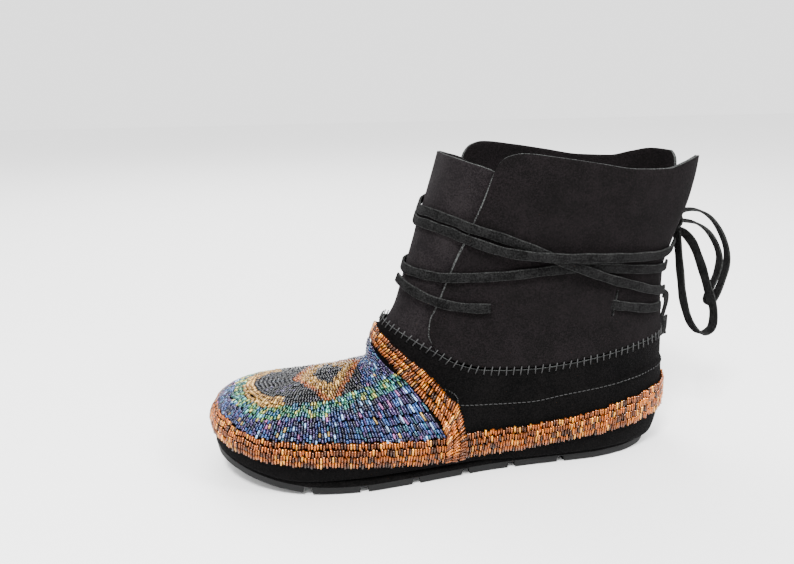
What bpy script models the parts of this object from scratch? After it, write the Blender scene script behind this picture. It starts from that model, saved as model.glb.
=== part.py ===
"""Beaded moccasin ankle boot, the left shoe of a pair.

Metres, +Z up. The toe points along +X and the outer side of the foot is +Y. The origin is on the
ground below the middle of the heel. Everything that is sewn is cut from one form, a foot dome
joined smoothly to an ankle shaft, so the pieces lie one on another whatever the sizes are.
"""
import math

import bpy
import numpy as np

# Driving sizes in millimetres
SOLE_LENGTH = 250.0
BALL_WIDTH = 86.0
SHAFT_HEIGHT = 170.0
HEEL_SETBACK = 0.124  # share of the length that lies behind the middle of the heel

# Thicknesses and clearances in millimetres
SOLE_THICK = 6.5
GROOVE_DEPTH = 3.0
INSOLE_THICK = 2.4
UPPER_WALL = 1.6  # of the upper band, from the form inwards
LAYER_STEP = 0.8  # what the lower quarter and the vamp stand proud of the upper band
COLLAR_WALL = 1.8
TONGUE_WALL = 1.8
TONGUE_GAP = 0.9
BEAD_THICK = 1.5
BEAD_LIFT = 0.5
PIECE_GAP = 0.3
INSOLE_GAP = 0.6
SOLE_CHAMFER = 0.9
SEAM_GAP = 1.0
LACE_WIDTH = 5.0
LACE_THICK = 1.4
LACE_LIFT = 0.9

# The form
BULGE = 3.0  # how far the upper swells out past the edge of the sole
TOE_TRIM = 0.9  # share of the bulge that is lost at the tip of the toe
WIDEST_HEIGHT = 24.0
TUCK_DEPTH = 34.0
BLEND = 8.0
HEEL_AXIS = 0.124
TOE_AXIS = 0.844
AXIS_SHIFT = -3.0
TOE_SPRING = 13.2
SPRING_START = 0.724
SPRING_SPAN = 0.28
HEEL_ROLL = 3.0
ROLL_START = 0.052
ROLL_SPAN = 0.052

# Sole outline: share of length, outer edge, inner edge (shares of the ball width)
OUTLINE = (
    (0.000, 0.000, 0.000),
    (0.020, 0.148, -0.137),
    (0.050, 0.228, -0.217),
    (0.100, 0.303, -0.291),
    (0.180, 0.354, -0.343),
    (0.280, 0.365, -0.337),
    (0.400, 0.388, -0.297),
    (0.500, 0.434, -0.297),
    (0.600, 0.485, -0.354),
    (0.700, 0.520, -0.434),
    (0.780, 0.508, -0.480),
    (0.850, 0.462, -0.491),
    (0.910, 0.377, -0.457),
    (0.955, 0.263, -0.388),
    (0.985, 0.126, -0.285),
    (1.000, -0.069, -0.069),
)
# Grooves across the tread: share of length of each one's middle
GROOVES = (0.247, 0.362, 0.468, 0.580, 0.692, 0.808)
GROOVE_WIDTH = 4.6
GROOVE_DRAFT = 0.6

# Foot dome: share of length, ridge height (share of the shaft height), fullness of the section
RIDGE = (
    (-0.036, 0.447, 2.20),
    (0.124, 0.471, 2.20),
    (0.364, 0.494, 2.10),
    (0.524, 0.406, 2.10),
    (0.632, 0.321, 2.10),
    (0.712, 0.285, 2.15),
    (0.784, 0.266, 2.30),
    (0.844, 0.254, 2.45),
)
# Shaft: height, back, front (shares of length), half width (share of ball width), fullness
SHAFT = (
    (0.000, -0.004, 0.596, 0.349, 2.20),
    (0.106, -0.022, 0.620, 0.384, 2.20),
    (0.235, -0.026, 0.644, 0.407, 2.20),
    (0.365, -0.024, 0.648, 0.401, 2.20),
    (0.447, -0.020, 0.632, 0.401, 2.20),
    (0.518, -0.016, 0.606, 0.395, 2.20),
    (0.606, -0.016, 0.588, 0.395, 2.20),
    (0.676, -0.027, 0.574, 0.407, 2.25),
    (0.735, -0.038, 0.562, 0.419, 2.30),
    (0.794, -0.051, 0.551, 0.430, 2.40),
    (0.853, -0.059, 0.536, 0.448, 2.50),
    (0.941, -0.066, 0.517, 0.471, 2.60),
    (1.030, -0.070, 0.500, 0.488, 2.60),
)
# Bead band round the foot: share of length, lower edge, upper edge (shares of shaft height)
BAND = (
    (-0.040, 0.144, 0.232),
    (0.000, 0.138, 0.229),
    (0.040, 0.126, 0.222),
    (0.128, 0.112, 0.203),
    (0.220, 0.101, 0.179),
    (0.312, 0.087, 0.165),
    (0.404, 0.078, 0.158),
    (0.536, 0.075, 0.155),
    (0.620, 0.087, 0.162),
    (0.724, 0.107, 0.172),
    (0.824, 0.114, 0.175),
    (0.900, 0.122, 0.181),
    (0.940, 0.129, 0.194),
    (0.976, 0.141, 0.218),
    (1.012, 0.153, 0.229),
)
# Rings round the upper: share of the way from toe to heel, then place as shares of length, ball
# width and height. The vamp's beads end and the instep band begins on the first one.
INSTEP_FRONT = (
    (0.00, 0.656, 0.000, 0.408),
    (0.10, 0.645, 0.099, 0.394),
    (0.20, 0.626, 0.186, 0.365),
    (0.30, 0.598, 0.291, 0.318),
    (0.40, 0.564, 0.407, 0.259),
    (0.47, 0.534, 0.494, 0.212),
    (0.50, 0.526, 0.512, 0.197),
)
# The seam that tops the vamp, the instep band and the lower quarter
SEAM = (
    (0.00, 0.632, 0.000, 0.453),
    (0.11, 0.612, 0.116, 0.426),
    (0.22, 0.584, 0.221, 0.388),
    (0.33, 0.552, 0.302, 0.341),
    (0.44, 0.520, 0.384, 0.288),
    (0.53, 0.492, 0.465, 0.262),
    (0.59, 0.436, 0.477, 0.253),
    (0.67, 0.336, 0.477, 0.248),
    (0.76, 0.248, 0.465, 0.262),
    (0.86, 0.154, 0.442, 0.274),
    (0.94, 0.064, 0.349, 0.285),
    (1.00, -0.028, 0.000, 0.294),
)
SEAM_DROP = 0.06  # share of the way to the topline over which the upper layer ends
REAR_FRONT = 0.7  # where the front ring lies between band and seam behind the throat
BAND_START = 0.05
# The topline, to which the collar is whipped
TOPLINE = (
    (0.00, 0.630, 0.000, 0.475),
    (0.11, 0.616, 0.128, 0.465),
    (0.22, 0.592, 0.221, 0.447),
    (0.33, 0.564, 0.297, 0.424),
    (0.44, 0.528, 0.355, 0.397),
    (0.53, 0.484, 0.395, 0.365),
    (0.59, 0.424, 0.419, 0.344),
    (0.67, 0.332, 0.430, 0.338),
    (0.76, 0.244, 0.430, 0.345),
    (0.86, 0.152, 0.407, 0.360),
    (0.94, 0.068, 0.326, 0.375),
    (1.00, -0.024, 0.000, 0.391),
)
# Front edge of the collar flaps: height, share of length
FLAP_EDGE = (
    (0.405, 0.523),
    (0.424, 0.535),
    (0.453, 0.542),
    (0.494, 0.538),
    (0.545, 0.523),
    (0.624, 0.503),
    (0.694, 0.485),
    (0.751, 0.468),
    (0.803, 0.454),
    (0.861, 0.438),
    (0.933, 0.422),
)
# Top edge of the collar from the back to the rounded front corner: share of length, height
COLLAR_TOP = (
    (-0.068, 0.971),
    (-0.036, 0.976),
    (0.004, 0.964),
    (0.052, 0.949),
    (0.124, 0.953),
    (0.210, 0.974),
    (0.292, 0.994),
    (0.364, 1.007),
    (0.392, 0.998),
    (0.410, 0.974),
    (0.422, 0.933),
)
# Top edge of the tongue: share of its half width, height
TONGUE_TOP = (
    (0.00, 1.000),
    (0.30, 0.994),
    (0.60, 0.978),
    (0.85, 0.956),
    (1.00, 0.915),
)
TONGUE_REACH = math.radians(62.0)
TONGUE_TUCK = 5.0

# Back slit of the collar: base and top half widths, and the height of its lower end
BACK_SLIT = (0.8, 12.5)
BACK_SLIT_BASE = 0.71
# Lace slots near the back, one each side
SLOT_AT = 0.142
SLOT_LOW = 0.482
SLOT_HIGH = 0.564
SLOT_WIDTH = 1.6

# Lace strands round the shaft: share of length, of ball width, of height, and of layers below
STRAND_HIGH = (
    (-0.036, -0.165, 0.760, 0.0),
    (0.012, -0.279, 0.771, 0.0),
    (0.124, -0.419, 0.788, 0.0),
    (0.284, -0.477, 0.818, 0.0),
    (0.444, -0.395, 0.835, 0.0),
    (0.532, -0.209, 0.841, 0.0),
    (0.568, 0.000, 0.838, 0.0),
    (0.542, 0.186, 0.829, 0.0),
    (0.518, 0.302, 0.815, 0.0),
    (0.474, 0.395, 0.792, 0.0),
    (0.390, 0.453, 0.753, 0.0),
    (0.308, 0.488, 0.704, 1.0),
    (0.241, 0.488, 0.660, 1.0),
    (0.172, 0.465, 0.621, 1.0),
    (0.091, 0.384, 0.581, 0.0),
    (0.040, 0.256, 0.552, 0.0),
    (-0.004, 0.105, 0.532, 0.0),
)
STRAND_MID = (
    (-0.040, -0.130, 0.718, 0.0),
    (0.012, -0.279, 0.726, 0.0),
    (0.124, -0.407, 0.747, 0.0),
    (0.284, -0.465, 0.771, 0.0),
    (0.444, -0.395, 0.791, 0.0),
    (0.532, -0.209, 0.799, 0.0),
    (0.572, 0.000, 0.799, 0.0),
    (0.544, 0.186, 0.790, 0.0),
    (0.518, 0.302, 0.777, 0.0),
    (0.474, 0.395, 0.754, 0.0),
    (0.390, 0.453, 0.718, 1.6),
    (0.285, 0.488, 0.697, 2.0),
    (0.198, 0.477, 0.690, 2.0),
    (0.097, 0.395, 0.678, 1.0),
    (0.020, 0.233, 0.674, 0.0),
    (-0.024, 0.093, 0.690, 0.0),
)
STRAND_LOW = (
    (-0.040, -0.105, 0.676, 0.0),
    (0.016, -0.256, 0.676, 0.0),
    (0.124, -0.395, 0.671, 0.0),
    (0.284, -0.442, 0.653, 0.0),
    (0.444, -0.384, 0.644, 0.0),
    (0.540, -0.198, 0.644, 0.0),
    (0.588, 0.000, 0.645, 0.0),
    (0.566, 0.209, 0.639, 0.0),
    (0.540, 0.326, 0.634, 0.0),
    (0.484, 0.407, 0.635, 0.0),
    (0.384, 0.453, 0.641, 0.0),
    (0.284, 0.488, 0.651, 0.0),
    (0.196, 0.477, 0.649, 0.0),
    (0.096, 0.395, 0.632, 0.0),
    (0.028, 0.233, 0.621, 0.0),
    (-0.012, 0.093, 0.617, 0.0),
)
LAYER = LACE_THICK + 0.5

# Free lace, hand-chosen route points in millimetres; scene.py repeats them
KNOT_PLACE = (-45.7, -6.5, 127.0)
KNOT_SIZE = (9.0, 11.0, 10.0)
BOW_LOOP_OUTER = (
    (-49.8, -9.4, 129.8),
    (-54.0, -9.8, 131.2),
    (-62.0, -10.5, 130.8),
    (-71.0, -11.5, 126.5),
    (-79.0, -12.0, 117.5),
    (-84.5, -12.0, 105.5),
    (-85.0, -11.5, 95.5),
    (-82.0, -11.0, 84.5),
    (-78.3, -10.7, 75.6),
    (-75.6, -10.5, 72.4),
    (-73.3, -10.5, 74.6),
    (-75.4, -10.7, 82.5),
    (-78.9, -11.0, 91.5),
    (-80.0, -11.4, 101.0),
    (-76.5, -11.3, 110.0),
    (-70.0, -11.0, 118.3),
    (-61.5, -10.5, 123.4),
    (-51.2, -9.6, 125.4),
)
BOW_LOOP_HANGING = (
    (-47.6, -8.2, 121.3),
    (-52.5, -7.0, 119.0),
    (-58.0, -5.5, 113.0),
    (-63.5, -4.5, 101.5),
    (-69.5, -4.0, 85.5),
    (-74.5, -3.5, 70.5),
    (-73.5, -3.0, 60.0),
    (-67.5, -2.5, 57.5),
    (-60.5, -2.0, 63.0),
    (-54.0, -1.5, 77.0),
    (-50.0, -1.0, 95.0),
    (-48.0, -1.5, 108.0),
    (-46.6, -3.0, 120.4),
)
LOWER_LOOP = (
    (-35.2, 8.8, 87.2),
    (-38.8, 5.0, 84.8),
    (-41.2, 0.8, 79.0),
    (-40.8, -1.5, 70.0),
    (-39.6, -0.5, 63.5),
    (-39.0, 3.0, 61.3),
    (-38.0, 7.0, 66.0),
    (-36.8, 9.5, 73.5),
)
SLOT_END = (
    (1.0, 37.5, 88.6),
    (-6.5, 36.2, 87.2),
    (-14.0, 32.8, 85.6),
    (-20.5, 28.6, 84.2),
)
FRONT_END = (
    (117.4, 4.0, 104.0),
    (114.6, 13.0, 101.3),
    (110.5, 21.0, 98.6),
    (105.0, 27.5, 96.2),
    (98.0, 32.3, 94.2),
    (90.5, 35.5, 93.0),
    (82.5, 37.6, 92.4),
    (74.5, 38.8, 92.3),
)

BOW_OUTER_FLAT = (0.15, -1.0, 0.1)  # direction across the lace, for each free run
BOW_HANGING_FLAT = (0.45, -1.0, 0.1)
LOWER_LOOP_FLAT = (0.9, 0.9, 0.0)

# Footbed: how far it lies inside the sole's edge, and how it narrows at both ends
INSOLE_INSET = BULGE + UPPER_WALL - PIECE_GAP
INSOLE_TAPER = 6.0
INSOLE_TIP = 0.25
INSOLE_END = 0.12
INSOLE_STATIONS = 24

# Facets
UPPER_COLUMNS = 56
COLLAR_COLUMNS = 50
COLLAR_ROWS = 10
TONGUE_COLUMNS = 16
TONGUE_ROWS = 11
VAMP_REACH = UPPER_COLUMNS // 4
VAMP_ROWS = 8
VAMP_SQUEEZE = 1.2
SOLE_STATIONS = 26
STRAND_STEP = 5.5
CORD_STEP = 6.0
KNOT_FACETS = (7, 12)

# Materials: base colour, roughness
SUEDE = ((0.012, 0.011, 0.012, 1.0), 0.95)
RUBBER = ((0.018, 0.018, 0.019, 1.0), 0.55)
LINING = ((0.055, 0.050, 0.048, 1.0), 0.90)
BRONZE_GLASS = ((0.260, 0.095, 0.030, 1.0), 0.25)
IRIS_GLASS = ((0.050, 0.085, 0.190, 1.0), 0.20)


def along(share):
    """Millimetres forward of the heel's middle for a share of the sole's length."""
    return (np.asarray(share, float) - HEEL_SETBACK) * SOLE_LENGTH


def across(share):
    return np.asarray(share, float) * BALL_WIDTH


def above(share):
    return np.asarray(share, float) * SHAFT_HEIGHT


def blend(at, knots, values):
    """Reads a curve without overshoot through the knots (monotone cubic)."""
    knots = np.asarray(knots, float)
    values = np.asarray(values, float)
    span = np.diff(knots)
    slope = np.diff(values) / span
    tangent = np.zeros(len(values))
    tangent[0] = slope[0]
    tangent[-1] = slope[-1]
    before, after = slope[:-1], slope[1:]
    same = before * after > 0
    total = np.where(same, before + after, 1.0)
    tangent[1:-1] = np.where(same, 2.0 * before * after / total, 0.0)
    at = np.clip(at, knots[0], knots[-1])
    i = np.clip(np.searchsorted(knots, at) - 1, 0, len(span) - 1)
    t = (at - knots[i]) / span[i]
    rise = values[i] * (1 + 2 * t) * (1 - t) ** 2 + values[i + 1] * t * t * (3 - 2 * t)
    bend = span[i] * t * (1 - t) * (tangent[i] * (1 - t) - tangent[i + 1] * t)
    return rise + bend


def columns(table):
    return [np.array(column, float) for column in zip(*table)]


def smooth_route(points, step):
    """Evenly spaced points on a smooth curve through the route points."""
    points = np.asarray(points, float)
    chord = np.linalg.norm(np.diff(points[:, :3], axis=0), axis=1)
    knots = np.concatenate([[0.0], np.cumsum(np.sqrt(chord))])
    tangent = np.gradient(points, knots, axis=0)
    dense = []
    for i in range(len(points) - 1):
        span = knots[i + 1] - knots[i]
        for t in np.linspace(0.0, 1.0, 24, endpoint=False):
            a = points[i] * (1 + 2 * t) * (1 - t) ** 2 + points[i + 1] * t * t * (3 - 2 * t)
            b = span * t * (1 - t) * (tangent[i] * (1 - t) - tangent[i + 1] * t)
            dense.append(a + b)
    dense = np.array(dense + [points[-1]])
    run = np.concatenate([[0.0], np.cumsum(np.linalg.norm(np.diff(dense[:, :3], axis=0), axis=1))])
    count = max(4, int(round(run[-1] / step)) + 1)
    at = np.linspace(0.0, run[-1], count)
    return np.stack([np.interp(at, run, dense[:, k]) for k in range(dense.shape[1])], axis=1)


class Form:
    """The foot dome and the ankle shaft as one smooth closed form."""

    def __init__(self):
        share = 0.5 - 0.5 * np.cos(np.linspace(0.0, math.pi, 241))
        at, outer, inner = columns(OUTLINE)
        self.edge_x = along(share)
        self.outer = blend(share, at, across(outer))
        self.inner = blend(share, at, across(inner))
        self.heel, self.toe = along(HEEL_AXIS), along(TOE_AXIS)
        self.toe_radii = self.end_radii(self.toe, self.edge_x >= self.toe, 1.0)
        self.heel_radii = self.end_radii(self.heel, self.edge_x <= self.heel, -1.0)
        at, height, full = columns(RIDGE)
        self.ridge_x, self.ridge_z, self.ridge_full = along(at), above(height), full
        height, back, front, half, full = columns(SHAFT)
        self.shaft_z = above(height)
        self.shaft = (along(back), along(front), across(half), full)

    def axis_y(self, x):
        share = np.clip((x - self.heel) / (self.toe - self.heel), 0.0, 1.0)
        return AXIS_SHIFT * share * share

    def end_radii(self, centre, chosen, sign):
        x = self.edge_x[chosen]
        y_mid = float(self.axis_y(centre))
        pairs = []
        for edge in (self.outer[chosen], self.inner[chosen]):
            for px, py in zip(x, edge):
                dx, dy = sign * (px - centre), py - y_mid
                pairs.append((math.atan2(dy, dx), math.hypot(dx, dy)))
        pairs.sort()
        return np.array(pairs).T

    def sides(self, x):
        return np.interp(x, self.edge_x, self.outer), np.interp(x, self.edge_x, self.inner)

    def foot_distance(self, x, y, z):
        axis_x = np.clip(x, self.heel, self.toe)
        axis_y = self.axis_y(axis_x)
        dx, dy = x - axis_x, y - axis_y
        outer, inner = self.sides(axis_x)
        edge = np.where(dy > 0, outer - axis_y, axis_y - inner)
        toe_edge = np.interp(np.arctan2(dy, dx), *self.toe_radii)
        heel_edge = np.interp(np.arctan2(dy, -dx), *self.heel_radii)
        reach = np.hypot(dx, dy)
        edge = np.where(dx > 0, toe_edge, np.where(dx < 0, heel_edge, edge))
        edge = edge + BULGE * (1.0 - TOE_TRIM * np.maximum(dx, 0.0) / np.maximum(reach, 1.0))
        ridge = blend(axis_x, self.ridge_x, self.ridge_z)
        full = blend(axis_x, self.ridge_x, self.ridge_full)
        rise = z - WIDEST_HEIGHT
        tall = np.where(rise > 0, ridge - WIDEST_HEIGHT, TUCK_DEPTH)
        ratio = ((reach / edge) ** full + (np.abs(rise) / tall) ** full) ** (1.0 / full)
        return np.hypot(reach, rise) * (1.0 - 1.0 / np.maximum(ratio, 0.05))

    def shaft_level(self, z):
        return [blend(z, self.shaft_z, column) for column in self.shaft]

    def shaft_distance(self, x, y, z):
        back, front, half, full = self.shaft_level(z)
        dx, deep = x - (front + back) / 2.0, (front - back) / 2.0
        ratio = ((np.abs(dx) / deep) ** full + (np.abs(y) / half) ** full) ** (1.0 / full)
        return np.hypot(dx, y) * (1.0 - 1.0 / np.maximum(ratio, 0.05))

    def distance(self, points):
        x, y, z = points.T
        foot = self.foot_distance(x, y, z)
        shaft = self.shaft_distance(x, y, z)
        near = np.maximum(BLEND - np.abs(foot - shaft), 0.0) / BLEND
        return np.minimum(foot, shaft) - near * near * BLEND / 4.0

    def gradient(self, points):
        step = 0.05
        parts = []
        for axis in np.eye(3) * step:
            parts.append((self.distance(points + axis) - self.distance(points - axis)) / (2 * step))
        return np.stack(parts, axis=1)

    def onto(self, points):
        """Moves points to the form's skin and gives the outward normals there."""
        points = np.array(points, float)
        for _ in range(14):
            slope = self.gradient(points)
            size = np.maximum((slope ** 2).sum(axis=1), 0.05)
            move = np.clip(self.distance(points), -6.0, 6.0) / size
            points -= slope * move[:, None]
        slope = self.gradient(points)
        return points, slope / np.linalg.norm(slope, axis=1, keepdims=True)


FORM = Form()


def sole_lift(x):
    """How far the underside of the sole is off the ground."""
    share = (x + HEEL_SETBACK * SOLE_LENGTH) / SOLE_LENGTH
    toe = TOE_SPRING * (np.maximum(share - SPRING_START, 0.0) / SPRING_SPAN) ** 2
    heel = HEEL_ROLL * (np.maximum(ROLL_START - share, 0.0) / ROLL_SPAN) ** 2
    return toe + heel


def material(name, look):
    colour, rough = look
    made = bpy.data.materials.new(name)
    made.use_nodes = True
    surface = made.node_tree.nodes["Principled BSDF"]
    surface.inputs["Base Color"].default_value = colour
    surface.inputs["Roughness"].default_value = rough
    made.diffuse_color = colour
    return made


def solid(name, verts, faces, look):
    """A mesh object from points in millimetres, with faces turned outwards."""
    mesh = bpy.data.meshes.new(name)
    mesh.from_pydata([tuple(v) for v in np.asarray(verts) / 1000.0], [], faces)
    mesh.validate()
    mesh.materials.append(look)
    mesh.polygons.foreach_set("use_smooth", [True] * len(mesh.polygons))
    made = bpy.data.objects.new(name, mesh)
    bpy.context.scene.collection.objects.link(made)
    return made


def layer(name, guide, inner, outer, look, closed=False):
    """A sheet of material between two offsets from the form, over a grid of guide points.

    The guide's first index runs along the piece and its second up it. Each offset is one value
    or one for each row. A closed piece joins its last column to its first.
    """
    guide = np.asarray(guide, float)
    nu, nv = guide.shape[:2]
    skin, normal = FORM.onto(guide.reshape(-1, 3))
    skin = skin.reshape(nu, nv, 3)
    normal = normal.reshape(nu, nv, 3)
    out = skin + normal * np.broadcast_to(outer, (nu, nv))[..., None]
    back = skin + normal * np.broadcast_to(inner, (nu, nv))[..., None]
    verts = np.concatenate([out.reshape(-1, 3), back.reshape(-1, 3)])
    inside = nu * nv
    faces = []
    spans = nu if closed else nu - 1
    for i in range(spans):
        k = (i + 1) % nu
        for j in range(nv - 1):
            a, b = i * nv + j, k * nv + j
            faces.append((a, b, b + 1, a + 1))
            faces.append((inside + a, inside + a + 1, inside + b + 1, inside + b))
        low_a, low_b = i * nv, k * nv
        top_a, top_b = low_a + nv - 1, low_b + nv - 1
        faces.append((low_a, inside + low_a, inside + low_b, low_b))
        faces.append((top_a, top_b, inside + top_b, inside + top_a))
    if not closed:
        last = (nu - 1) * nv
        for j in range(nv - 1):
            faces.append((j, j + 1, inside + j + 1, inside + j))
            a = last + j
            faces.append((a, inside + a, inside + a + 1, a + 1))
    return solid(name, verts, faces, look)


def ribbon(name, centre, flat, look, width=LACE_WIDTH, thick=LACE_THICK):
    """A flat lace along a line; flat holds the direction across its width at each point."""
    centre = np.asarray(centre, float)
    run = np.gradient(centre, axis=0)
    run /= np.linalg.norm(run, axis=1, keepdims=True)
    wide = flat - (flat * run).sum(axis=1, keepdims=True) * run
    wide /= np.linalg.norm(wide, axis=1, keepdims=True)
    thin = np.cross(run, wide)
    corners = []
    for w, t in ((0.5, 0.5), (-0.5, 0.5), (-0.5, -0.5), (0.5, -0.5)):
        corners.append(centre + wide * (w * width) + thin * (t * thick))
    verts = np.stack(corners, axis=1).reshape(-1, 3)
    faces = [(3, 2, 1, 0)]
    count = len(centre)
    for i in range(count - 1):
        for c in range(4):
            a, b = 4 * i + c, 4 * i + (c + 1) % 4
            faces.append((a, b, b + 4, a + 4))
    end = 4 * (count - 1)
    faces.append((end, end + 1, end + 2, end + 3))
    return solid(name, verts, faces, look)


def ring_point(table, share, side):
    """The place on a ring table at a share of the way from front to back."""
    at, x, y, z = columns(table)
    return np.array([
        blend(share, at, along(x)),
        side * blend(share, at, across(y)),
        blend(share, at, above(z)),
    ])


def edge_point(share, side):
    """The place on the sole's outline at a share of the way from toe to heel."""
    y = FORM.outer if side > 0 else FORM.inner
    x = FORM.edge_x[::-1]
    y = y[::-1]
    run = np.concatenate([[0.0], np.cumsum(np.hypot(np.diff(x), np.diff(y)))])
    at = share * run[-1]
    return float(np.interp(at, run, x)), float(np.interp(at, run, y))


def band_height(x, which):
    at, low, high = columns(BAND)
    return float(blend(x, along(at), above(low if which == "low" else high)))


def feather_height(x):
    return float(sole_lift(x)) + SOLE_THICK + PIECE_GAP


def turn(index, count):
    """Share from front to back and side for a column of a ring that starts at the toe."""
    share = 2.0 * index / count
    return (share, 1.0) if share <= 1.0 else (2.0 - share, -1.0)


def foot_column(share, side):
    """Guide points up the foot: feather edge, band edges, instep front, seam and topline."""
    x, y = edge_point(share, side)
    feather = np.array([x, y, feather_height(x)])
    low = np.array([x, y, band_height(x, "low")])
    high = np.array([x, y, band_height(x, "high")])
    seam = ring_point(SEAM, share, side)
    if share <= INSTEP_FRONT[-1][0] + 1e-6:
        front = ring_point(INSTEP_FRONT, share, side)
    else:
        front = high + (seam - high) * REAR_FRONT
    return feather, low, high, front, seam, ring_point(TOPLINE, share, side)


def rows_between(start, end, count, squeeze=1.0):
    """Points after the start up to the end; squeeze over 1 crowds them towards the end."""
    shares = 1.0 - (1.0 - np.arange(1, count + 1) / count) ** squeeze
    return [start + (end - start) * s for s in shares]


def make_upper(look):
    """The hollow moccasin: vamp and lower quarter in one layer, upper band below it."""
    guide = []
    for i in range(UPPER_COLUMNS):
        feather, low, high, front, seam, topline = foot_column(*turn(i, UPPER_COLUMNS))
        column = [feather]
        column += rows_between(feather, low, 2)
        column += rows_between(low, high, 2)
        column += rows_between(high, front, VAMP_ROWS, VAMP_SQUEEZE)
        column += rows_between(front, seam, 2)
        column += [seam + (topline - seam) * SEAM_DROP]
        column += rows_between(seam, topline, 2)
        guide.append(column)
    rows = len(guide[0])
    proud = np.full(rows, LAYER_STEP)
    proud[-3:] = 0.0
    return layer("upper", guide, -UPPER_WALL, proud, look, closed=True)


def make_foxing_beads(look):
    guide = []
    for i in range(UPPER_COLUMNS):
        _, low, high, _, _, _ = foot_column(*turn(i, UPPER_COLUMNS))
        guide.append([low, (low + high) / 2.0, high])
    start = LAYER_STEP + BEAD_LIFT
    return layer("foxing_beads", guide, start, start + BEAD_THICK, look, closed=True)


def front_columns(reach):
    """The upper's own columns round the toe, from the inner side to the outer side."""
    return [turn(i % UPPER_COLUMNS, UPPER_COLUMNS) for i in range(-reach, reach + 1)]


def make_vamp_beads(look):
    """The bead field of the vamp, on the upper's own columns and rows."""
    guide = []
    for share, side in front_columns(VAMP_REACH):
        _, _, high, front, _, _ = foot_column(share, side)
        span = front - high
        step = span / np.linalg.norm(span) * SEAM_GAP
        middle = rows_between(high, front, VAMP_ROWS, VAMP_SQUEEZE)[:-1]
        guide.append([high + step] + middle + [front - step])
    start = LAYER_STEP + BEAD_LIFT
    return layer("vamp_beads", guide, start, start + BEAD_THICK, look)


def make_throat_beads(look):
    """The bead band over the instep and down to the foxing band on both sides."""
    guide = []
    for share, side in front_columns(VAMP_REACH + 1):
        _, _, high, front, seam, _ = foot_column(share, side)
        middle = (front + seam) / 2.0
        if share > INSTEP_FRONT[-1][0] + 1e-6:
            front = high + (seam - high) * BAND_START
            middle = (front + seam) / 2.0
        span = seam - front
        step = span / np.linalg.norm(span) * SEAM_GAP
        guide.append([front + step, middle, seam])
    start = LAYER_STEP + BEAD_LIFT
    return layer("throat_beads", guide, start, start + BEAD_THICK, look)


def shaft_point(angle, z):
    """A guide point on the shaft; angle 0 is the front and positive turns to the outer side."""
    back, front, half, full = FORM.shaft_level(z)
    c, s = np.cos(angle), np.sin(angle)
    x = (front + back) / 2.0 + (front - back) / 2.0 * np.sign(c) * np.abs(c) ** (2.0 / full)
    return np.array([x, half * np.sign(s) * np.abs(s) ** (2.0 / full), z])


def shaft_angle(x, z):
    back, front, _, full = FORM.shaft_level(z)
    c = np.clip((x - (front + back) / 2.0) / ((front - back) / 2.0), -1.0, 1.0)
    return float(np.arccos(np.sign(c) * np.abs(c) ** (full / 2.0)))


def topline_height(x):
    _, at, _, height = columns(TOPLINE)
    order = np.argsort(at)
    return float(blend(x, along(at[order]), above(height[order])))


def collar_top_height(x):
    at, height = columns(COLLAR_TOP)
    return float(blend(x, along(at), above(height)))


def flap_edge(z):
    height, at = columns(FLAP_EDGE)
    return float(blend(z, above(height), along(at)))


def make_collar(look):
    """The ankle wrap from one flap's front edge round the heel to the other's."""
    edge_low, edge_high = above(FLAP_EDGE[0][0]) + SEAM_GAP, above(FLAP_EDGE[-1][0])
    guide = []
    for i in range(COLLAR_COLUMNS + 1):
        share = 2.0 * i / COLLAR_COLUMNS
        side, share = (1.0, share) if share <= 1.0 else (-1.0, 2.0 - share)
        column = []
        for j in range(COLLAR_ROWS + 1):
            up = j / COLLAR_ROWS
            z_edge = edge_low + (edge_high - edge_low) * up
            x_edge = flap_edge(z_edge)
            z = z_edge
            for _ in range(6):
                first = shaft_angle(x_edge, z_edge)
                angle = first + (math.pi - first) * share
                x = float(shaft_point(angle, z)[0])
                low = topline_height(x) + SEAM_GAP
                high = collar_top_height(x)
                z = low + (high - low) * up
            if share < 1e-6:
                z = z_edge
            point = shaft_point(angle, z)
            point[1] *= side
            column.append(point)
        guide.append(column)
    collar = layer("collar", guide, -COLLAR_WALL, 0.0, look)
    cut(collar, back_slit_cutter())
    for side in (1.0, -1.0):
        cut(collar, slot_cutter(side))
    return collar


def cutter(name, verts, faces):
    made = solid(name, verts, faces, bpy.data.materials[0])
    made.data.materials.clear()
    made.hide_render = True
    made.hide_set(True)
    made.display_type = "WIRE"
    return made


def box_faces():
    return [(0, 3, 2, 1), (4, 5, 6, 7), (0, 1, 5, 4), (1, 2, 6, 5), (2, 3, 7, 6), (3, 0, 4, 7)]


def back_slit_cutter():
    """A wedge that is narrow at the slit's lower end and wide at the collar's edge."""
    low, high = above(BACK_SLIT_BASE), above(COLLAR_TOP[0][1]) + 8.0
    narrow, wide = BACK_SLIT
    far, near = along(-0.3), along(0.1)
    verts = []
    for z, half in ((low, narrow), (high, wide)):
        verts += [(far, -half, z), (near, -half, z), (near, half, z), (far, half, z)]
    return cutter("cut_back_slit", verts, box_faces())


def slot_cutter(side):
    x, half = along(SLOT_AT), SLOT_WIDTH / 2.0
    y_near, y_far = sorted((side * BALL_WIDTH * 0.30, side * BALL_WIDTH * 0.60))
    verts = []
    for z in (above(SLOT_LOW), above(SLOT_HIGH)):
        verts += [(x - half, y_near, z), (x + half, y_near, z), (x + half, y_far, z), (x - half, y_far, z)]
    return cutter("cut_slot_outer" if side > 0 else "cut_slot_inner", verts, box_faces())


def cut(target, tool):
    modifier = target.modifiers.new(tool.name, "BOOLEAN")
    modifier.operation = "DIFFERENCE"
    modifier.solver = "EXACT"
    modifier.object = tool


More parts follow.
